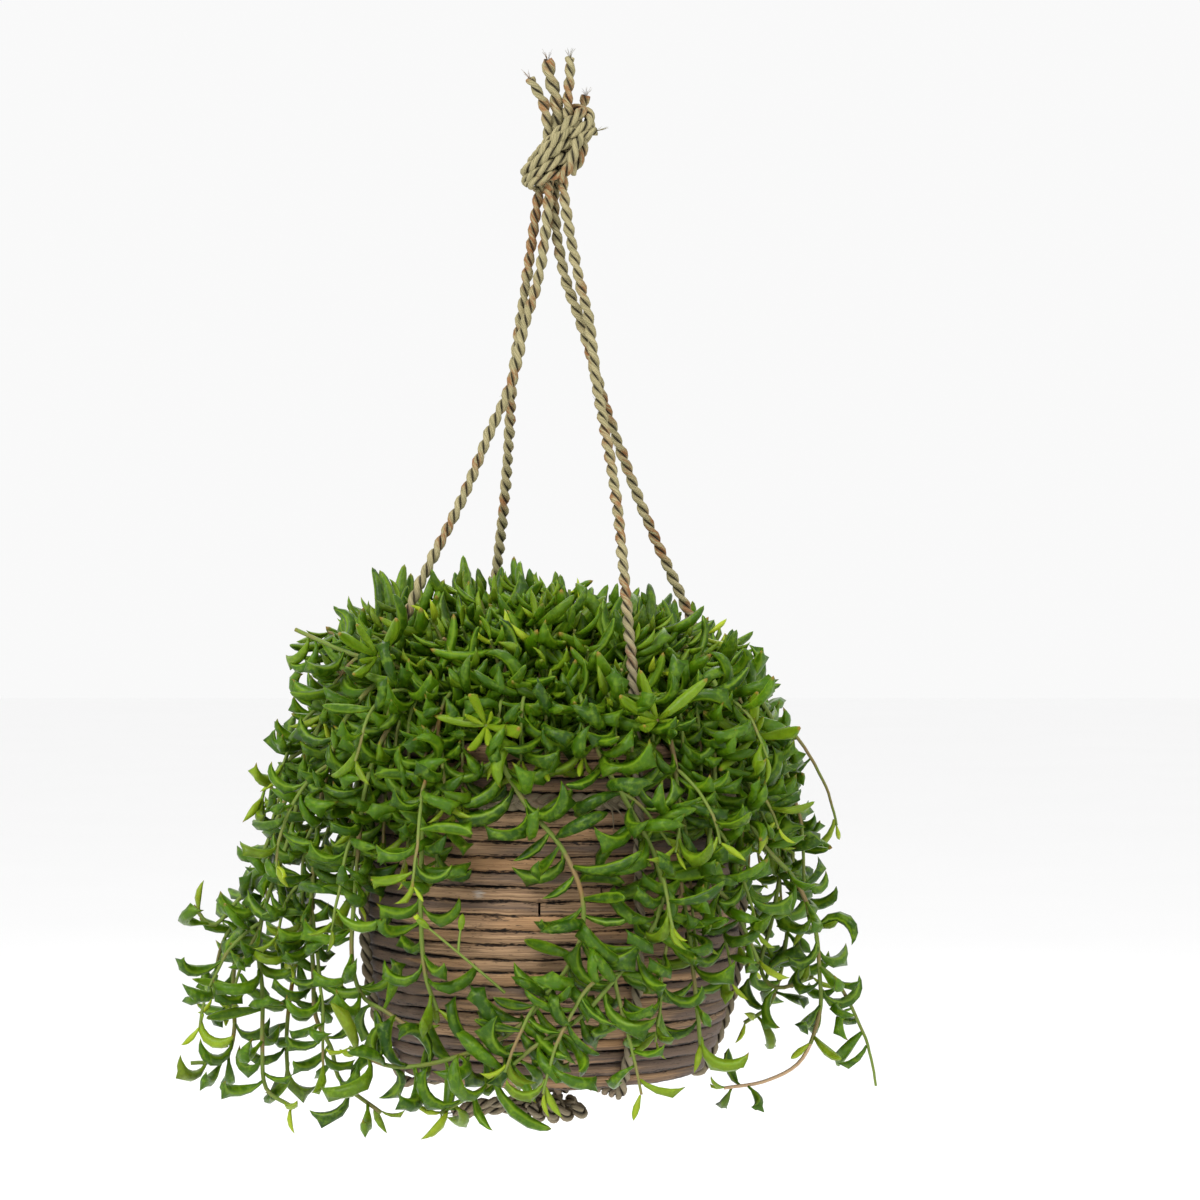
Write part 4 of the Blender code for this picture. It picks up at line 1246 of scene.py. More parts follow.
# %% Make the leaf finish
LEAF_DARK = (0.012, 0.042, 0.001)
LEAF_MIDDLE = (0.056, 0.135, 0.001)
LEAF_LIGHT = (0.16, 0.27, 0.010)
LEAF_YOUNG = (0.32, 0.40, 0.018)
LEAF_FLUSH = (0.24, 0.08, 0.02)
STEM_GREEN = (0.13, 0.185, 0.030)
STEM_TAN = (0.20, 0.145, 0.060)
STEM_DRY = (0.46, 0.30, 0.19)


def make_leaf():
    finish = Finish("dolphin_leaf", Specular_IOR_Level=0.18, Subsurface_Weight=0.1, Subsurface_Scale=0.0015)
    tone = finish.attribute("tone")
    young = finish.attribute("young")
    edge = finish.attribute("edge")
    reach = finish.attribute("reach")
    stem = finish.attribute("stem")
    place = finish.place()
    mottle = finish.clouds(place, 260.0, 3.0, 0.6)
    pores = finish.clouds(place, 1500.0, 2.0)
    colour = finish.mix(tone, LEAF_DARK, LEAF_MIDDLE)
    colour = finish.mix(finish.step(mottle, 0.42, 0.75, 0.0, 0.5), colour, LEAF_LIGHT)
    colour = finish.mix(young, colour, LEAF_YOUNG)
    colour = finish.mix(finish.step(edge, 0.60, 1.0, 0.0, 0.65), colour, LEAF_LIGHT)
    flushed = finish.step(reach, 0.90, 1.0) * finish.step(tone, 0.5, 0.9) * 0.7
    colour = finish.mix(flushed, colour, LEAF_FLUSH)
    bark = finish.mix(finish.step(finish.clouds(place, 45.0, 2.0), 0.50, 0.68), STEM_GREEN, STEM_TAN)
    bark = finish.mix(finish.step(finish.clouds(place, 25.0, 2.0), 0.64, 0.74, 0.0, 0.5), bark, LEAF_FLUSH)
    bark = finish.mix(finish.step(tone, 0.8, 1.0, 0.0, 0.85), bark, STEM_DRY)
    colour = finish.mix(stem, colour, bark)
    roughness = 0.28 + mottle * 0.2 + stem * 0.2
    return finish.paint(colour, roughness, pores * 0.5 + mottle, 0.0003)


leaf_finish = make_leaf()
print("leaf finish ready")

# %% [markdown]
# ## Stems that carry leaves
# Leaves repeat, so a geometry tree sets them: it takes lines for the stems and loose points for the
# places of leaves. Each point carries the direction of its leaf, which way is up for it, its size, its
# kind and its tone. The lines are skinned as tubes, a leaf shape is put on each point, and all of it
# becomes one mesh.

# %% Build the tree for leafy stems
STEM_CORNERS = 5


def build_leafy_tree():
    """Tubes along the lines, and leaves on the loose points."""
    tree = new_tree("leafy_stems", [("Lines", "Geometry"), ("Shapes", "Collection"), ("Corners", "Int")])
    n = Nodes(tree)
    given = n.add("NodeGroupInput")
    parts = n.add("GeometryNodeSeparateGeometry", {"domain": "POINT"},
                  {"Geometry": given.out("Lines"), "Selection": named(n, "seat", "BOOLEAN")})
    line = n.add("GeometryNodeMeshToCurve", None, {"Mesh": parts.out("Inverted")})
    circle = n.add("GeometryNodeCurvePrimitiveCircle", None, {"Resolution": given.out("Corners"), "Radius": 1.0})
    stems = n.add("GeometryNodeCurveToMesh", None, {
        "Curve": line, "Profile Curve": circle, "Scale": named(n, "thick"), "Fill Caps": True})
    stems = n.add("GeometryNodeStoreNamedAttribute", {"data_type": "FLOAT", "domain": "POINT"},
                  {"Geometry": stems, "Name": "stem", "Value": 1.0})
    shapes = n.add("GeometryNodeCollectionInfo", None,
                   {"Collection": given.out("Shapes"), "Separate Children": True, "Reset Children": True})
    turn = n.add("FunctionNodeAxesToRotation", {"primary_axis": "X", "secondary_axis": "Z"},
                 {"Primary Axis": named(n, "way", "FLOAT_VECTOR"), "Secondary Axis": named(n, "up", "FLOAT_VECTOR")})
    leaves = n.add("GeometryNodeInstanceOnPoints", None, {
        "Points": parts.out("Selection"), "Instance": shapes, "Pick Instance": True,
        "Instance Index": named(n, "kind", "INT"), "Rotation": turn, "Scale": named(n, "size")})
    joined = n.add("GeometryNodeJoinGeometry")
    for part in (n.add("GeometryNodeSetShadeSmooth", None, {"Geometry": stems}), leaves):
        tree.links.new(part.socket, joined.node.inputs[0])
    real = n.add("GeometryNodeRealizeInstances", None, {"Geometry": joined})
    painted = n.add("GeometryNodeSetMaterial", None, {"Geometry": real, "Material": leaf_finish})
    n.add("NodeGroupOutput", None, {"Geometry": painted})
    return tree


leafy_tree = build_leafy_tree()


class Foliage:
    """The lines and leaf places of one piece."""

    NUMBERS = {"thick": "FLOAT", "size": "FLOAT", "tone": "FLOAT", "young": "FLOAT"}
    WAYS = ("way", "up")

    def __init__(self):
        self.points = []
        self.edges = []
        self.values = {name: [] for name in (*self.NUMBERS, *self.WAYS, "kind", "seat")}

    def add_point(self, place, **values):
        self.points.append(Vector(place) * MM)
        for name, stored in self.values.items():
            stored.append(values.get(name, (0.0, 0.0, 0.0) if name in self.WAYS else 0))

    def add_stem(self, path, start_radius, end_radius, tone=0.5):
        first = len(self.points)
        for at, place in enumerate(path):
            share = at / (len(path) - 1)
            self.add_point(place, thick=(start_radius + (end_radius - start_radius) * share) * MM, tone=tone)
        self.edges += [(at, at + 1) for at in range(first, len(self.points) - 1)]

    def grow(self, name):
        """The finished mesh."""
        mesh = bpy.data.meshes.new(name)
        mesh.from_pydata(self.points, self.edges, [])
        for stored, kind in self.NUMBERS.items():
            mesh.attributes.new(stored, kind, "POINT").data.foreach_set("value", self.values[stored])
        mesh.attributes.new("kind", "INT", "POINT").data.foreach_set("value", self.values["kind"])
        mesh.attributes.new("seat", "BOOLEAN", "POINT").data.foreach_set("value", self.values["seat"])
        for stored in self.WAYS:
            flat = np.array(self.values[stored], dtype=np.float32).ravel()
            mesh.attributes.new(stored, "FLOAT_VECTOR", "POINT").data.foreach_set("vector", flat)
        return grown(helper(name, mesh), leafy_tree, {"Shapes": leaf_shapes, "Corners": STEM_CORNERS})


print("leafy tree has", len(leafy_tree.nodes), "nodes")

# %% [markdown]
# ## Room to grow
# Leaves fill the space around the stems, but they don't grow through each other, the ropes or the wall.
# A grid of small cells remembers which places are taken, so that one look at the nearby cells tells
# whether a new leaf has room. In the photograph the upper ropes stay in sight, so the space before them
# is marked as taken too.

# %% Keep track of the room
CELL = 7.0
LEAF_REACH = (0.35, 0.65, 1.0)
ROPE_SEEN_TO = {"rope_front": -258.0, "rope_left": -209.0, "rope_back": -195.0, "rope_right": -227.0}
SIGHT_DEPTH = 90.0
SIGHT_STEP = 4.0


class Room:
    """Balls of taken space, in a grid."""

    def __init__(self):
        self.cells = {}

    def cell(self, place):
        return tuple(int(math.floor(c / CELL)) for c in place)

    def take(self, place, radius):
        self.cells.setdefault(self.cell(place), []).append((Vector(place), radius))

    def is_free(self, place, gap):
        x, y, z = self.cell(place)
        for dx in (-1, 0, 1):
            for dy in (-1, 0, 1):
                for dz in (-1, 0, 1):
                    for centre, radius in self.cells.get((x + dx, y + dy, z + dz), ()):
                        if (centre - place).length < radius + gap:
                            return False
        return True


def clear_of_basket(place, gap):
    """Whether a place is outside the wall and the knot below, or inside above the soil."""
    away = math.hypot(place.x, place.y)
    if place.z > RIM_Z + gap:
        return True
    if place.z < BASE_Z - ROPE_DIAMETER - gap:
        return True
    if away > barrel_radius(min(place.z, RIM_Z)) + gap:
        return True
    return away < RIM_RADIUS - CANE_DEPTH - 3 - gap and place.z > SOIL_Z + gap and away < POT_TOP_RADIUS - gap


room = Room()
for name, path in rope_paths.items():
    for place in path[::2]:
        room.take(place, ROPE_DIAMETER / 2)
        if place[2] > ROPE_SEEN_TO[name]:
            for ahead in np.arange(SIGHT_STEP, SIGHT_DEPTH, SIGHT_STEP):
                room.take(Vector(place) - Vector((0, ahead, 0)), 1.5)
print("taken cells:", len(room.cells))

# %% [markdown]
# ## Setting leaves on a stem
# Leaves stand on the stem in a spiral, each turned on from the last by the golden angle, which keeps
# them out of each other's light. They lean towards the tip, and the leaves of hanging stems turn out
# from the basket. If a leaf would hit something, a few other directions are tried, and if none is free
# it isn't set.

# %% Define how leaves are set
GOLDEN_ANGLE = math.radians(137.5)
LEAF_TRIES = 7
LEAF_GAP = 1.1
TAKEN_BY_LEAF = 1.6
BASKET_GAP = 3.2
FULL_SIZE_FROM = 7.0  # from this far below the tip leaves have their full size
ODD_LEAF = 0.08  # share of small leaves among the full grown ones
LEAF_ROLL = 0.85
WORLD_UP = Vector((0, 0, 1))
TEST_LEAF = (31.0, (-55, 78))  # length and slopes of the arc that stands for any leaf
SIZE_ROOM = 3.0  # how far past the box of the solids a leaf may reach
YOUNG_SPARE = 12.0  # how much farther the youngest leaves may reach, so that no tip stays bare
LOWEST = [low / MM - SIZE_ROOM for low in cad_box[0]]
HIGHEST = [high / MM + SIZE_ROOM for high in cad_box[1]]
OUTLINE = [  # height, how far the plant reaches to the left and to the right there, seen from the front
    (-476, -160, 60), (-462, -174, 96), (-444, -188, 154), (-416, -186, 160), (-380, -187, 158),
    (-355, -177, 148), (-335, -160, 141), (-304, -146, 131), (-281, -143, 125), (-253, -136, 116),
    (-225, -131, 104), (-216, -121, 80), (-208, -110, 56), (-200, -98, 12), (-192, -84, -8), (-186, -58, -30),
]


def in_outline(place, spare):
    """Whether a place is inside the box of the solids and the plant's outline, with some room to spare."""
    heights, left, right = zip(*OUTLINE)
    if place.z > heights[-1]:
        return False
    if place.x < np.interp(place.z, heights, left) - spare or place.x > np.interp(place.z, heights, right) + spare:
        return False
    return all(low - spare < at < high + spare for low, at, high in zip(LOWEST, place, HIGHEST))


def leaf_places(base, way, up, size):
    """Places along a leaf of this size, to test what it would touch."""
    places = []
    for reach in LEAF_REACH:
        place, _ = crescent(*TEST_LEAF, reach)
        places.append(base + (way * place.x + up * place.z) * size)
    return places


def set_leaf(foliage, base, way, up, size, kind, tone, young, gap=LEAF_GAP):
    """Set one leaf if it has room."""
    way = way.normalized()
    up = (up - way * up.dot(way)).normalized()
    places = leaf_places(base, way, up, size)
    for place in places:
        if not in_outline(place, YOUNG_SPARE * young):
            return False
        if not clear_of_basket(place, BASKET_GAP * size) or not room.is_free(place, gap):
            return False
    for place in places:
        room.take(place, TAKEN_BY_LEAF * size)
    foliage.add_point(base, way=way, up=up, size=size, kind=kind, tone=tone, young=young, seat=True)
    return True


def leaf_stem(foliage, path, dice, start, spacing, lean, outward, size, tip_young, tone, kinds, young_zone):
    """Set leaves along a stem from a share of its length to its tip."""
    forward, across, side_way = frames(path)
    lengths = np.concatenate([[0], np.cumsum(np.linalg.norm(np.diff(path, axis=0), axis=1))])
    spot = lengths[-1] * start
    turn = dice.uniform(0, math.tau)
    while spot < lengths[-1]:
        at = min(int(np.searchsorted(lengths, spot)), len(path) - 1)
        to_tip = lengths[-1] - spot
        young = max(0.0, 1.0 - to_tip / young_zone)
        grown_size = size * dice.uniform(0.78, 1.08) * min(1.0, 0.55 + 0.45 * to_tip / FULL_SIZE_FROM)
        kind = dice.choice(YOUNG_KINDS if young > 0.5 or dice.random() < ODD_LEAF else kinds)
        leaf_tone = min(1.0, max(0.0, tone + dice.uniform(-0.4, 0.4)))
        away = Vector((path[at][0], path[at][1], 0)).normalized()
        for attempt in range(LEAF_TRIES):
            angle = turn + dice.uniform(-0.3, 0.3) * (1 + 2 * attempt)
            radial = Vector(math.cos(angle) * across[at] + math.sin(angle) * side_way[at])
            ahead = Vector(forward[at])
            way = radial + ahead * (lean + 1.1 * young + dice.uniform(-0.25, 0.25)) + away * outward
            up = WORLD_UP + ahead * 0.3 + Vector([dice.uniform(-LEAF_ROLL, LEAF_ROLL) for _ in range(3)])
            base = Vector(path[at]) + radial * 0.8
            if set_leaf(foliage, base, way, up, grown_size, kind, leaf_tone, young * tip_young, LEAF_GAP - 0.9 * young):
                break
        turn += GOLDEN_ANGLE
        spot += spacing * (1 - 0.6 * young)


print("leaf rules ready")

# %% [markdown]
# ## The trailing stems
# The stems rise from the soil, bend over the rim and hang. Their routes are those of the solids. The
# long ones branch. A branch leaves its stem at a node, bends down under its own weight, and is kept off
# the basket.

# %% Repeat the routes of the stems
STRANDS = [
    [(-24, -62, -300), (-30, -84, -266), (-24, -104, -282), (-10, -111, -305), (6, -114, -324),
     (16, -115, -348), (14, -114, -371), (0, -112, -394), (-20, -110, -414), (-50, -104, -427),
     (-76, -96, -431), (-97, -88, -423)],
    [(20, -64, -300), (18, -86, -264), (26, -105, -284), (40, -109, -308), (51, -109, -330),
     (54, -109, -350), (46, -113, -368), (30, -118, -388), (14, -121, -405), (-8, -121, -419),
     (-26, -117, -435), (-52, -108, -452)],
    [(40, -53, -300), (52, -74, -262), (60, -91, -282), (62, -97, -310), (63, -97, -340),
     (67, -94, -365), (70, -91, -392), (73, -87, -422)],
    [(53, -42, -300), (68, -60, -256), (78, -73, -272), (80, -81, -298), (77, -88, -325),
     (80, -88, -344), (90, -80, -357), (102, -62, -384)],
    [(60, -27, -300), (76, -46, -246), (86, -60, -264), (90, -66, -290), (96, -65, -312),
     (107, -58, -330), (121, -46, -346), (131, -38, -369), (134, -32, -395), (134, -30, -414),
     (125, -32, -437), (107, -36, -447), (86, -40, -450)],
    [(65, -12, -300), (82, -14, -244), (106, -14, -260), (118, -8, -292), (118, 0, -330),
     (112, 4, -370), (106, 0, -394), (114, -8, -404), (132, -12, -398)],
    [(60, 27, -300), (80, 36, -242), (105, 42, -262), (120, 42, -296), (124, 36, -340),
     (120, 26, -385), (112, 16, -414), (98, 10, -424)],
    [(-38, -55, -300), (-50, -74, -258), (-56, -90, -280), (-60, -96, -306), (-62, -97, -350),
     (-60, -97, -385), (-54, -96, -404)],
    [(-54, -38, -300), (-76, -56, -248), (-98, -63, -262), (-110, -60, -292), (-116, -52, -330),
     (-119, -46, -365), (-118, -42, -390), (-117, -40, -414), (-109, -42, -430), (-104, -44, -446),
     (-84, -48, -461)],
    [(-46, -48, -300), (-64, -68, -254), (-80, -79, -272), (-90, -78, -300), (-95, -73, -346),
     (-97, -71, -380), (-92, -75, -399), (-80, -83, -406), (-68, -89, -413)],
    [(-64, -11, -300), (-85, -8, -238), (-108, -8, -254), (-124, -12, -290), (-131, -18, -324),
     (-144, -22, -362), (-147, -22, -383), (-145, -22, -405), (-145, -24, -431), (-143, -26, -452),
     (-130, -28, -461)],
    [(-65, 6, -300), (-84, 12, -236), (-106, 14, -248), (-122, 12, -280), (-134, 8, -315),
     (-144, 4, -343), (-160, 0, -361), (-172, -2, -373), (-182, -2, -363)],
    [(-60, 25, -300), (-78, 36, -236), (-104, 42, -246), (-124, 42, -278), (-140, 36, -316),
     (-154, 28, -352), (-162, 22, -385), (-164, 18, -410), (-163, 16, -428), (-168, 14, -443),
     (-185, 12, -445)],
    [(-49, 43, -300), (-64, 62, -240), (-84, 72, -254), (-104, 70, -290), (-118, 58, -330),
     (-128, 42, -370), (-134, 26, -405), (-136, 14, -430), (-135, 8, -452)],
    [(-61, -25, -300), (-74, -40, -262), (-86, -47, -240), (-104, -46, -232), (-127, -38, -222)],
]
BACK_STRANDS = [(38.0, -405.0), (57.0, -440.0), (76.0, -420.0), (94.0, -450.0), (127.0, -430.0)]


def back_route(angle, tip_z):
    """The way of a trailing stem at the back, from the soil over the rim to its tip."""
    fall = tip_z + 285.0
    return [
        on_circle(angle, 65, -300),
        on_circle(angle + 2, 88, -246),
        on_circle(angle, 108, -258),
        on_circle(angle - 2, 118, -285),
        on_circle(angle - 5, 122, -285 + 0.4 * fall),
        on_circle(angle - 4, 119, -285 + 0.75 * fall),
        on_circle(angle + 3, 114, tip_z),
    ]


routes = STRANDS + [back_route(angle, tip_z) for angle, tip_z in BACK_STRANDS]
stem_paths = []
for route in routes:
    foot = (route[0][0], route[0][1], SOIL_Z + TOUCH)
    path, _ = evenly([foot, *route], 4.0)
    stem_paths.append(path)
    for place in path:
        room.take(place, 1.4)
print("trailing stems:", len(stem_paths))

# %% Let the stems branch
BRANCH_STEP = 3.5
BRANCHES_EACH = (1, 4, 4, 4, 3, 3, 1, 4, 5, 5, 5, 3, 3, 4, 1)
BRANCHES_BACK = 3
BRANCH_LENGTHS = (35.0, 85.0)


def hanging_branch(start, way, length, dice):
    """A stem that leaves in a direction and bends down under its weight, or None if it hits something."""
    path = [Vector(start)]
    way = way.normalized()
    while BRANCH_STEP * len(path) < length:
        way += Vector((dice.uniform(-0.1, 0.1), dice.uniform(-0.1, 0.1), -0.13))
        way.normalize()
        place = path[-1] + way * BRANCH_STEP
        if not clear_of_basket(place, 6.0):
            return None
        if len(path) > 3 and not room.is_free(place, 1.8):
            return None
        path.append(place)
    return np.array(path)


def branches_of(path, count, dice):
    """Branches of one stem, from its hanging part."""
    forward, across, side_way = frames(path)
    found = []
    for _ in range(count * 8):
        if len(found) == count:
            break
        at = dice.randrange(len(path) // 4, len(path) * 3 // 4)
        angle = dice.uniform(0, math.tau)
        radial = Vector(math.cos(angle) * across[at] + math.sin(angle) * side_way[at])
        away = Vector((path[at][0], path[at][1], 0)).normalized()
        way = radial * 0.8 + Vector(forward[at]) * 0.6 + away * 0.4
        branch = hanging_branch(path[at], way, dice.uniform(*BRANCH_LENGTHS), dice)
        if branch is not None:
            found.append(branch)
            for place in branch[2:]:
                room.take(place, 1.2)
    return found


dice = random.Random(17)
stem_branches = []
for number, path in enumerate(stem_paths):
    count = BRANCHES_EACH[number] if number < len(STRANDS) else BRANCHES_BACK
    stem_branches.append(branches_of(path, count, dice))
print("branches:", sum(len(branches) for branches in stem_branches))

# %% [markdown]
# ## The mound
# The heart of the plant is a mound of short shoots that all grow from the soil. Their tips are spread
# evenly over the mound with the golden angle, as seeds are on a sunflower. The mound's reach and the
# height of its edge are given for eight directions, because it isn't round: it bulges to the left.

# %% Grow the mound
SHOOTS = 138
MOUND_EDGE = [  # angle, how far the mound reaches, height of its edge
    (-180, 114, -226), (-135, 104, -248), (-90, 98, -258), (-45, 95, -250),
    (0, 88, -230), (45, 92, -240), (90, 100, -248), (135, 108, -240), (180, 114, -226),
]
MOUND_TOP = -204.0
MOUND_SLOPE = -0.06
MOUND_CURVE = 2.6
SHOOT_STEP = 6.0
ROSETTES = [  # places of young tips that face the viewer, and how young they are
    ((-30, -112, -266), 0.55), ((52, -102, -264), 0.35), ((-84, -74, -234), 0.25), ((100, -66, -274), 0.40),
]
ROSETTE_LEAVES = 7
ROSETTE_SIGHT = 50.0
LEAFY_LENGTH = 46.0  # of each shoot, from its tip down


def mound_place(share, angle):
    """The tip of a shoot, at a share of the way out to the mound's edge."""
    rows = np.array(MOUND_EDGE, dtype=float)
    degrees = (math.degrees(angle) + 180) % 360 - 180
    reach = np.interp(degrees, rows[:, 0], rows[:, 1])
    edge_z = np.interp(degrees, rows[:, 0], rows[:, 2])
    x = reach * share * math.cos(angle)
    y = reach * share * math.sin(angle)
    top = MOUND_TOP + MOUND_SLOPE * (x + 30)
    return Vector((x, y, top + (edge_z - top) * share**MOUND_CURVE))


def shoot_path(tip):
    """A bow from the soil up inside the rim and out to the tip."""
    away = math.hypot(tip.x, tip.y)
    flat = Vector((tip.x, tip.y, 0)) / max(away, 0.1)
    foot = flat * min(60.0, away * 0.55)
    foot.z = SOIL_Z + TOUCH
    knee = flat * min(78.0, away * 0.8)
    knee.z = tip.z - 14.0 if away < 80 else max(tip.z - 8.0, RIM_Z + 14.0)
    count = max(6, int((tip - foot).length / SHOOT_STEP))
    shares = [at / count for at in range(count + 1)]
    return np.array([foot * (1 - t) ** 2 + knee * 2 * t * (1 - t) + tip * t * t for t in shares])


def leafy_shoot(foliage, path, dice, spacing, size):
    """A shoot of the mound, with leaves on its outer part."""
    foliage.add_stem(path, 1.3, 0.8)
    length = np.linalg.norm(np.diff(path, axis=0), axis=1).sum()
    start = max(0.2, 1 - LEAFY_LENGTH / length)
    tip_young = 1.0 if dice.random() < 0.16 else dice.uniform(0.0, 0.35)
    tone = dice.uniform(0.25, 0.75)
    leaf_stem(foliage, path, dice, start, spacing, 0.5, 0.1, size, tip_young, tone, MOUND_KINDS, 10.0)


def add_rosette(foliage, tip, young, dice):
    """A shoot whose tip faces the viewer, with its young leaves spread like a star."""
    path = shoot_path(tip)
    foliage.add_stem(path, 1.3, 0.9)
    ahead = Vector((dice.uniform(-0.25, 0.25), -1.0, 0.3)).normalized()
    side = ahead.cross(WORLD_UP).normalized()
    above = side.cross(ahead)
    for leaf in range(ROSETTE_LEAVES):
        turn = leaf * GOLDEN_ANGLE + young + dice.uniform(-0.5, 0.5)
        inner = leaf / (ROSETTE_LEAVES - 1)
        radial = side * math.cos(turn) + above * math.sin(turn)
        kind = dice.choice(YOUNG_KINDS if inner > 0.6 else FINGER_KINDS)
        way = radial + ahead * (dice.uniform(0.1, 0.8) + 0.9 * inner)
        size = dice.uniform(0.8, 1.15) - 0.4 * inner
        set_leaf(foliage, tip + radial * 0.8, way, ahead, size, kind, 0.9, young * (0.4 + 0.6 * inner), 0.0)
    for distance in np.arange(14.0, ROSETTE_SIGHT, SIGHT_STEP):
        room.take(tip + ahead * distance, 5.0)


dice = random.Random(31)
mound = Foliage()
for place, young in ROSETTES:
    add_rosette(mound, Vector(place), young, dice)
for shoot in range(SHOOTS):
    share = math.sqrt((shoot + 0.5) / SHOOTS)
    tip = mound_place(share, shoot * GOLDEN_ANGLE)
    tip += Vector((dice.uniform(-6, 6), dice.uniform(-6, 6), dice.uniform(-7, 5)))
    leafy_shoot(mound, shoot_path(tip), dice, 5.4, 1.08)

# %% Let short shoots hang over the rim
APRON_SHOOTS = 46
APRON_DROPS = [  # angle, how far below the rim the shoots there end
    (-180, 40), (-150, 70), (-118, 60), (-111, 8), (-60, 6), (-50, 30), (-30, 60), (0, 50), (90, 40), (180, 40),
]


def apron_path(angle, drop):
    """From the soil over the rim and down outside the wall."""
    route = [on_circle(angle, 62, SOIL_Z + TOUCH), on_circle(angle, 76, -270), on_circle(angle, 92, -252),
             on_circle(angle, 104, -264)]
    steps = max(1, round(drop / 25))
    for step in range(1, steps + 1):
        height = -264 - (drop + 13) * step / steps
        route.append(on_circle(angle, barrel_radius(min(height, RIM_Z)) + 12, height))
    return evenly(route, SHOOT_STEP)[0]


for shoot in range(APRON_SHOOTS):
    angle = -180 + 360 * (shoot + dice.uniform(0.1, 0.9)) / APRON_SHOOTS
    drop = np.interp(angle, *zip(*APRON_DROPS)) * dice.uniform(0.5, 1.1)
    path = apron_path(angle, drop)
    mound.add_stem(path, 1.3, 0.8)
    for place in path:
        room.take(place, 1.0)
    tip_young = dice.uniform(0.1, 0.8)
    leaf_stem(mound, path, dice, 0.3, 6.0, 0.3, 0.4, 1.05, tip_young, dice.uniform(0.25, 0.7), TRAILING_KINDS, 12.0)
print("leaves in the mound:", sum(mound.values["seat"]))
add_piece("crown_shoots", mound.grow("crown_shoots"), leaf_finish, ["crown"])

# %% Hang the stems with their leaves
FLOWER_STALK = [(-21, -116, -393), (-34, -121, -381), (-47, -121, -370), (-57, -119, -362)]
BUD_STALK = [(-43, -121, -373.5), (-42.5, -120.5, -367), (-42, -119, -363)]
FLORETS = 9
DRY_ENDS = {4: 13}  # a stem's number, and how many steps of its path at the end are dry and bare


def add_flower(foliage):
    """A thin stalk with an open head, and a bud on a side stalk."""
    for route in (FLOWER_STALK, BUD_STALK):
        foliage.add_stem(evenly(route, 3.0)[0], 0.8, 0.6)
        end = Vector(route[-1])
        ahead = (end - Vector(route[-2])).normalized()
        foliage.add_point(end, way=ahead, up=(0, -1, 0), size=0.85, kind=BUD_KIND, tone=0.6, young=0.2, seat=True)
    end = Vector(FLOWER_STALK[-1])
    ahead = (end - Vector(FLOWER_STALK[-2])).normalized()
    for floret in range(FLORETS):
        turn = floret * GOLDEN_ANGLE
        out = Vector((math.cos(turn), math.sin(turn), 0.4)) * 0.45
        foliage.add_point(end + ahead * 6, way=ahead + out, up=(0, 0, 1), size=0.35, kind=BUD_KIND,
                          tone=1.0, young=1.0, seat=True)


dice = random.Random(43)
for number, (path, branches) in enumerate(zip(stem_paths, stem_branches)):
    foliage = Foliage()
    cut = len(path) - DRY_ENDS.get(number, 0)
    foliage.add_stem(path[:cut], 1.5, 1.1)
    if cut < len(path):
        foliage.add_stem(path[cut - 1:], 1.1, 0.9, 1.0)
        leaf_stem(foliage, path[-5:], dice, 0.1, 4.0, 0.1, 0.0, 0.8, 0.5, 0.5, TRAILING_KINDS, 8.0)
    tone = dice.uniform(0.3, 0.7)
    spacing, size = (5.0, 1.15) if number < 2 else (7.0, 1.0)
    leafy = path[:cut]
    leaf_stem(foliage, leafy, dice, 0.12, spacing, 0.1, 0.3, size, dice.uniform(0.3, 1.0), tone, TRAILING_KINDS, 14.0)
    for branch in branches:
        foliage.add_stem(branch, 1.1, 0.7)
        leaf_stem(foliage, branch, dice, 0.1, 7.0, 0.15, 0.2, 0.95, dice.uniform(0.3, 1.0), tone, TRAILING_KINDS, 14.0)
    if number == 0:
        add_flower(foliage)
    name = f"strand_{number + 1:02d}"
    print("leaves:", sum(foliage.values["seat"]))
    add_piece(f"{name}_leafy", foliage.grow(f"{name}_leafy"), leaf_finish, [name])

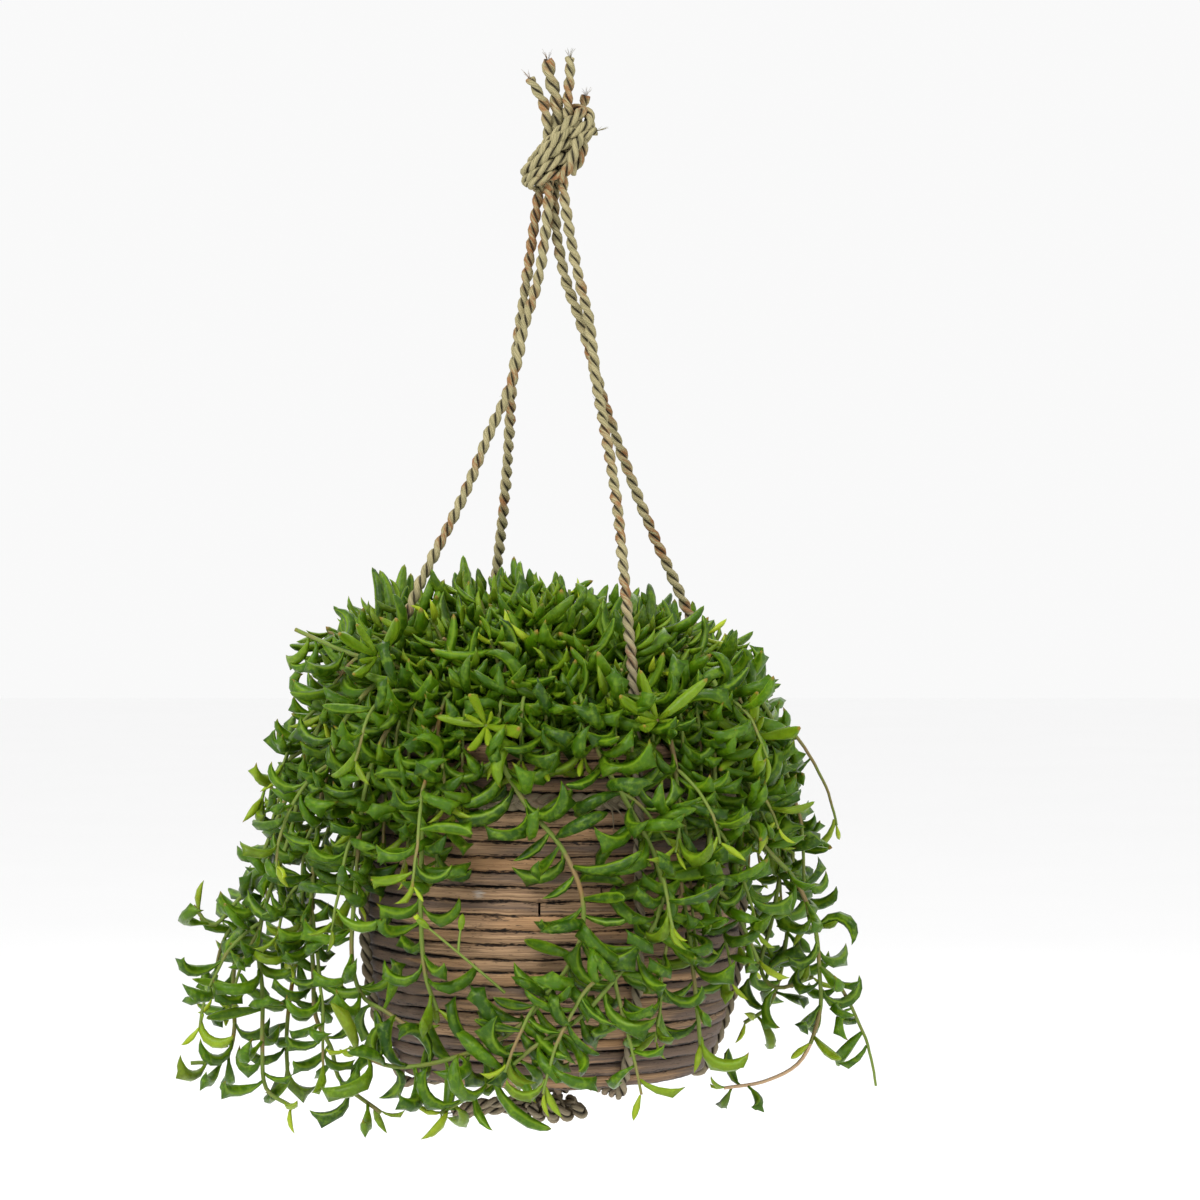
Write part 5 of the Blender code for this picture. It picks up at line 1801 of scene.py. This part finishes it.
# %% [markdown]
# ## Lights, floor and air
# A hanging plant is photographed in soft light from the front. Two large area lights make it, and the
# pale surroundings fill the shade. The floor is far below, out of the camera's view.

# %% Set up the studio
FLOOR_Z = -0.78
FLOOR_HALF = 12.0
LIGHTS = [  # place, size in metres, power in watts
    ((-1.1, -1.9, 1.5), 0.9, 62.0),
    ((1.5, -1.6, 0.5), 1.2, 14.0),
    ((0.2, 1.8, 1.4), 1.4, 20.0),
]
LIGHT_TARGET = Vector((0.0, 0.0, -0.25))


def make_floor():
    finish = Finish("studio_floor", Specular_IOR_Level=0.2)
    mottle = finish.clouds(finish.place(), 3.0, 3.0)
    colour = finish.mix(mottle, (0.96, 0.96, 0.96), (0.98, 0.98, 0.98))
    mesh = bpy.data.meshes.new("studio_floor")
    corners = [(-1, -1), (1, -1), (1, 1), (-1, 1)]
    mesh.from_pydata([(x * FLOOR_HALF, y * FLOOR_HALF, FLOOR_Z) for x, y in corners], [], [(0, 1, 2, 3)])
    mesh.materials.append(finish.paint(colour, 0.8 + mottle * 0.1))
    floor = bpy.data.objects.new("studio_floor", mesh)
    bpy.context.scene.collection.objects.link(floor)


make_floor()
for number, (place, size, power) in enumerate(LIGHTS):
    data = bpy.data.lights.new(f"light_{number}", "AREA")
    data.size = size
    data.energy = power
    lamp = bpy.data.objects.new(f"light_{number}", data)
    lamp.location = place
    lamp.rotation_euler = (LIGHT_TARGET - Vector(place)).to_track_quat("-Z", "Y").to_euler()
    bpy.context.scene.collection.objects.link(lamp)
world = bpy.data.worlds.new("pale_air")
world.use_nodes = True
world.node_tree.nodes["Background"].inputs["Color"].default_value = (1.0, 1.0, 1.0, 1.0)
world.node_tree.nodes["Background"].inputs["Strength"].default_value = 0.95
bpy.context.scene.world = world
bpy.context.scene.view_settings.view_transform = "Standard"
print("studio ready")

# %% [markdown]
# ## Finish
# The objects that only carried data to the geometry trees are removed.

# %% Remove the carriers
for carrier in [section, *leaf_shapes.objects]:
    bpy.data.objects.remove(carrier)
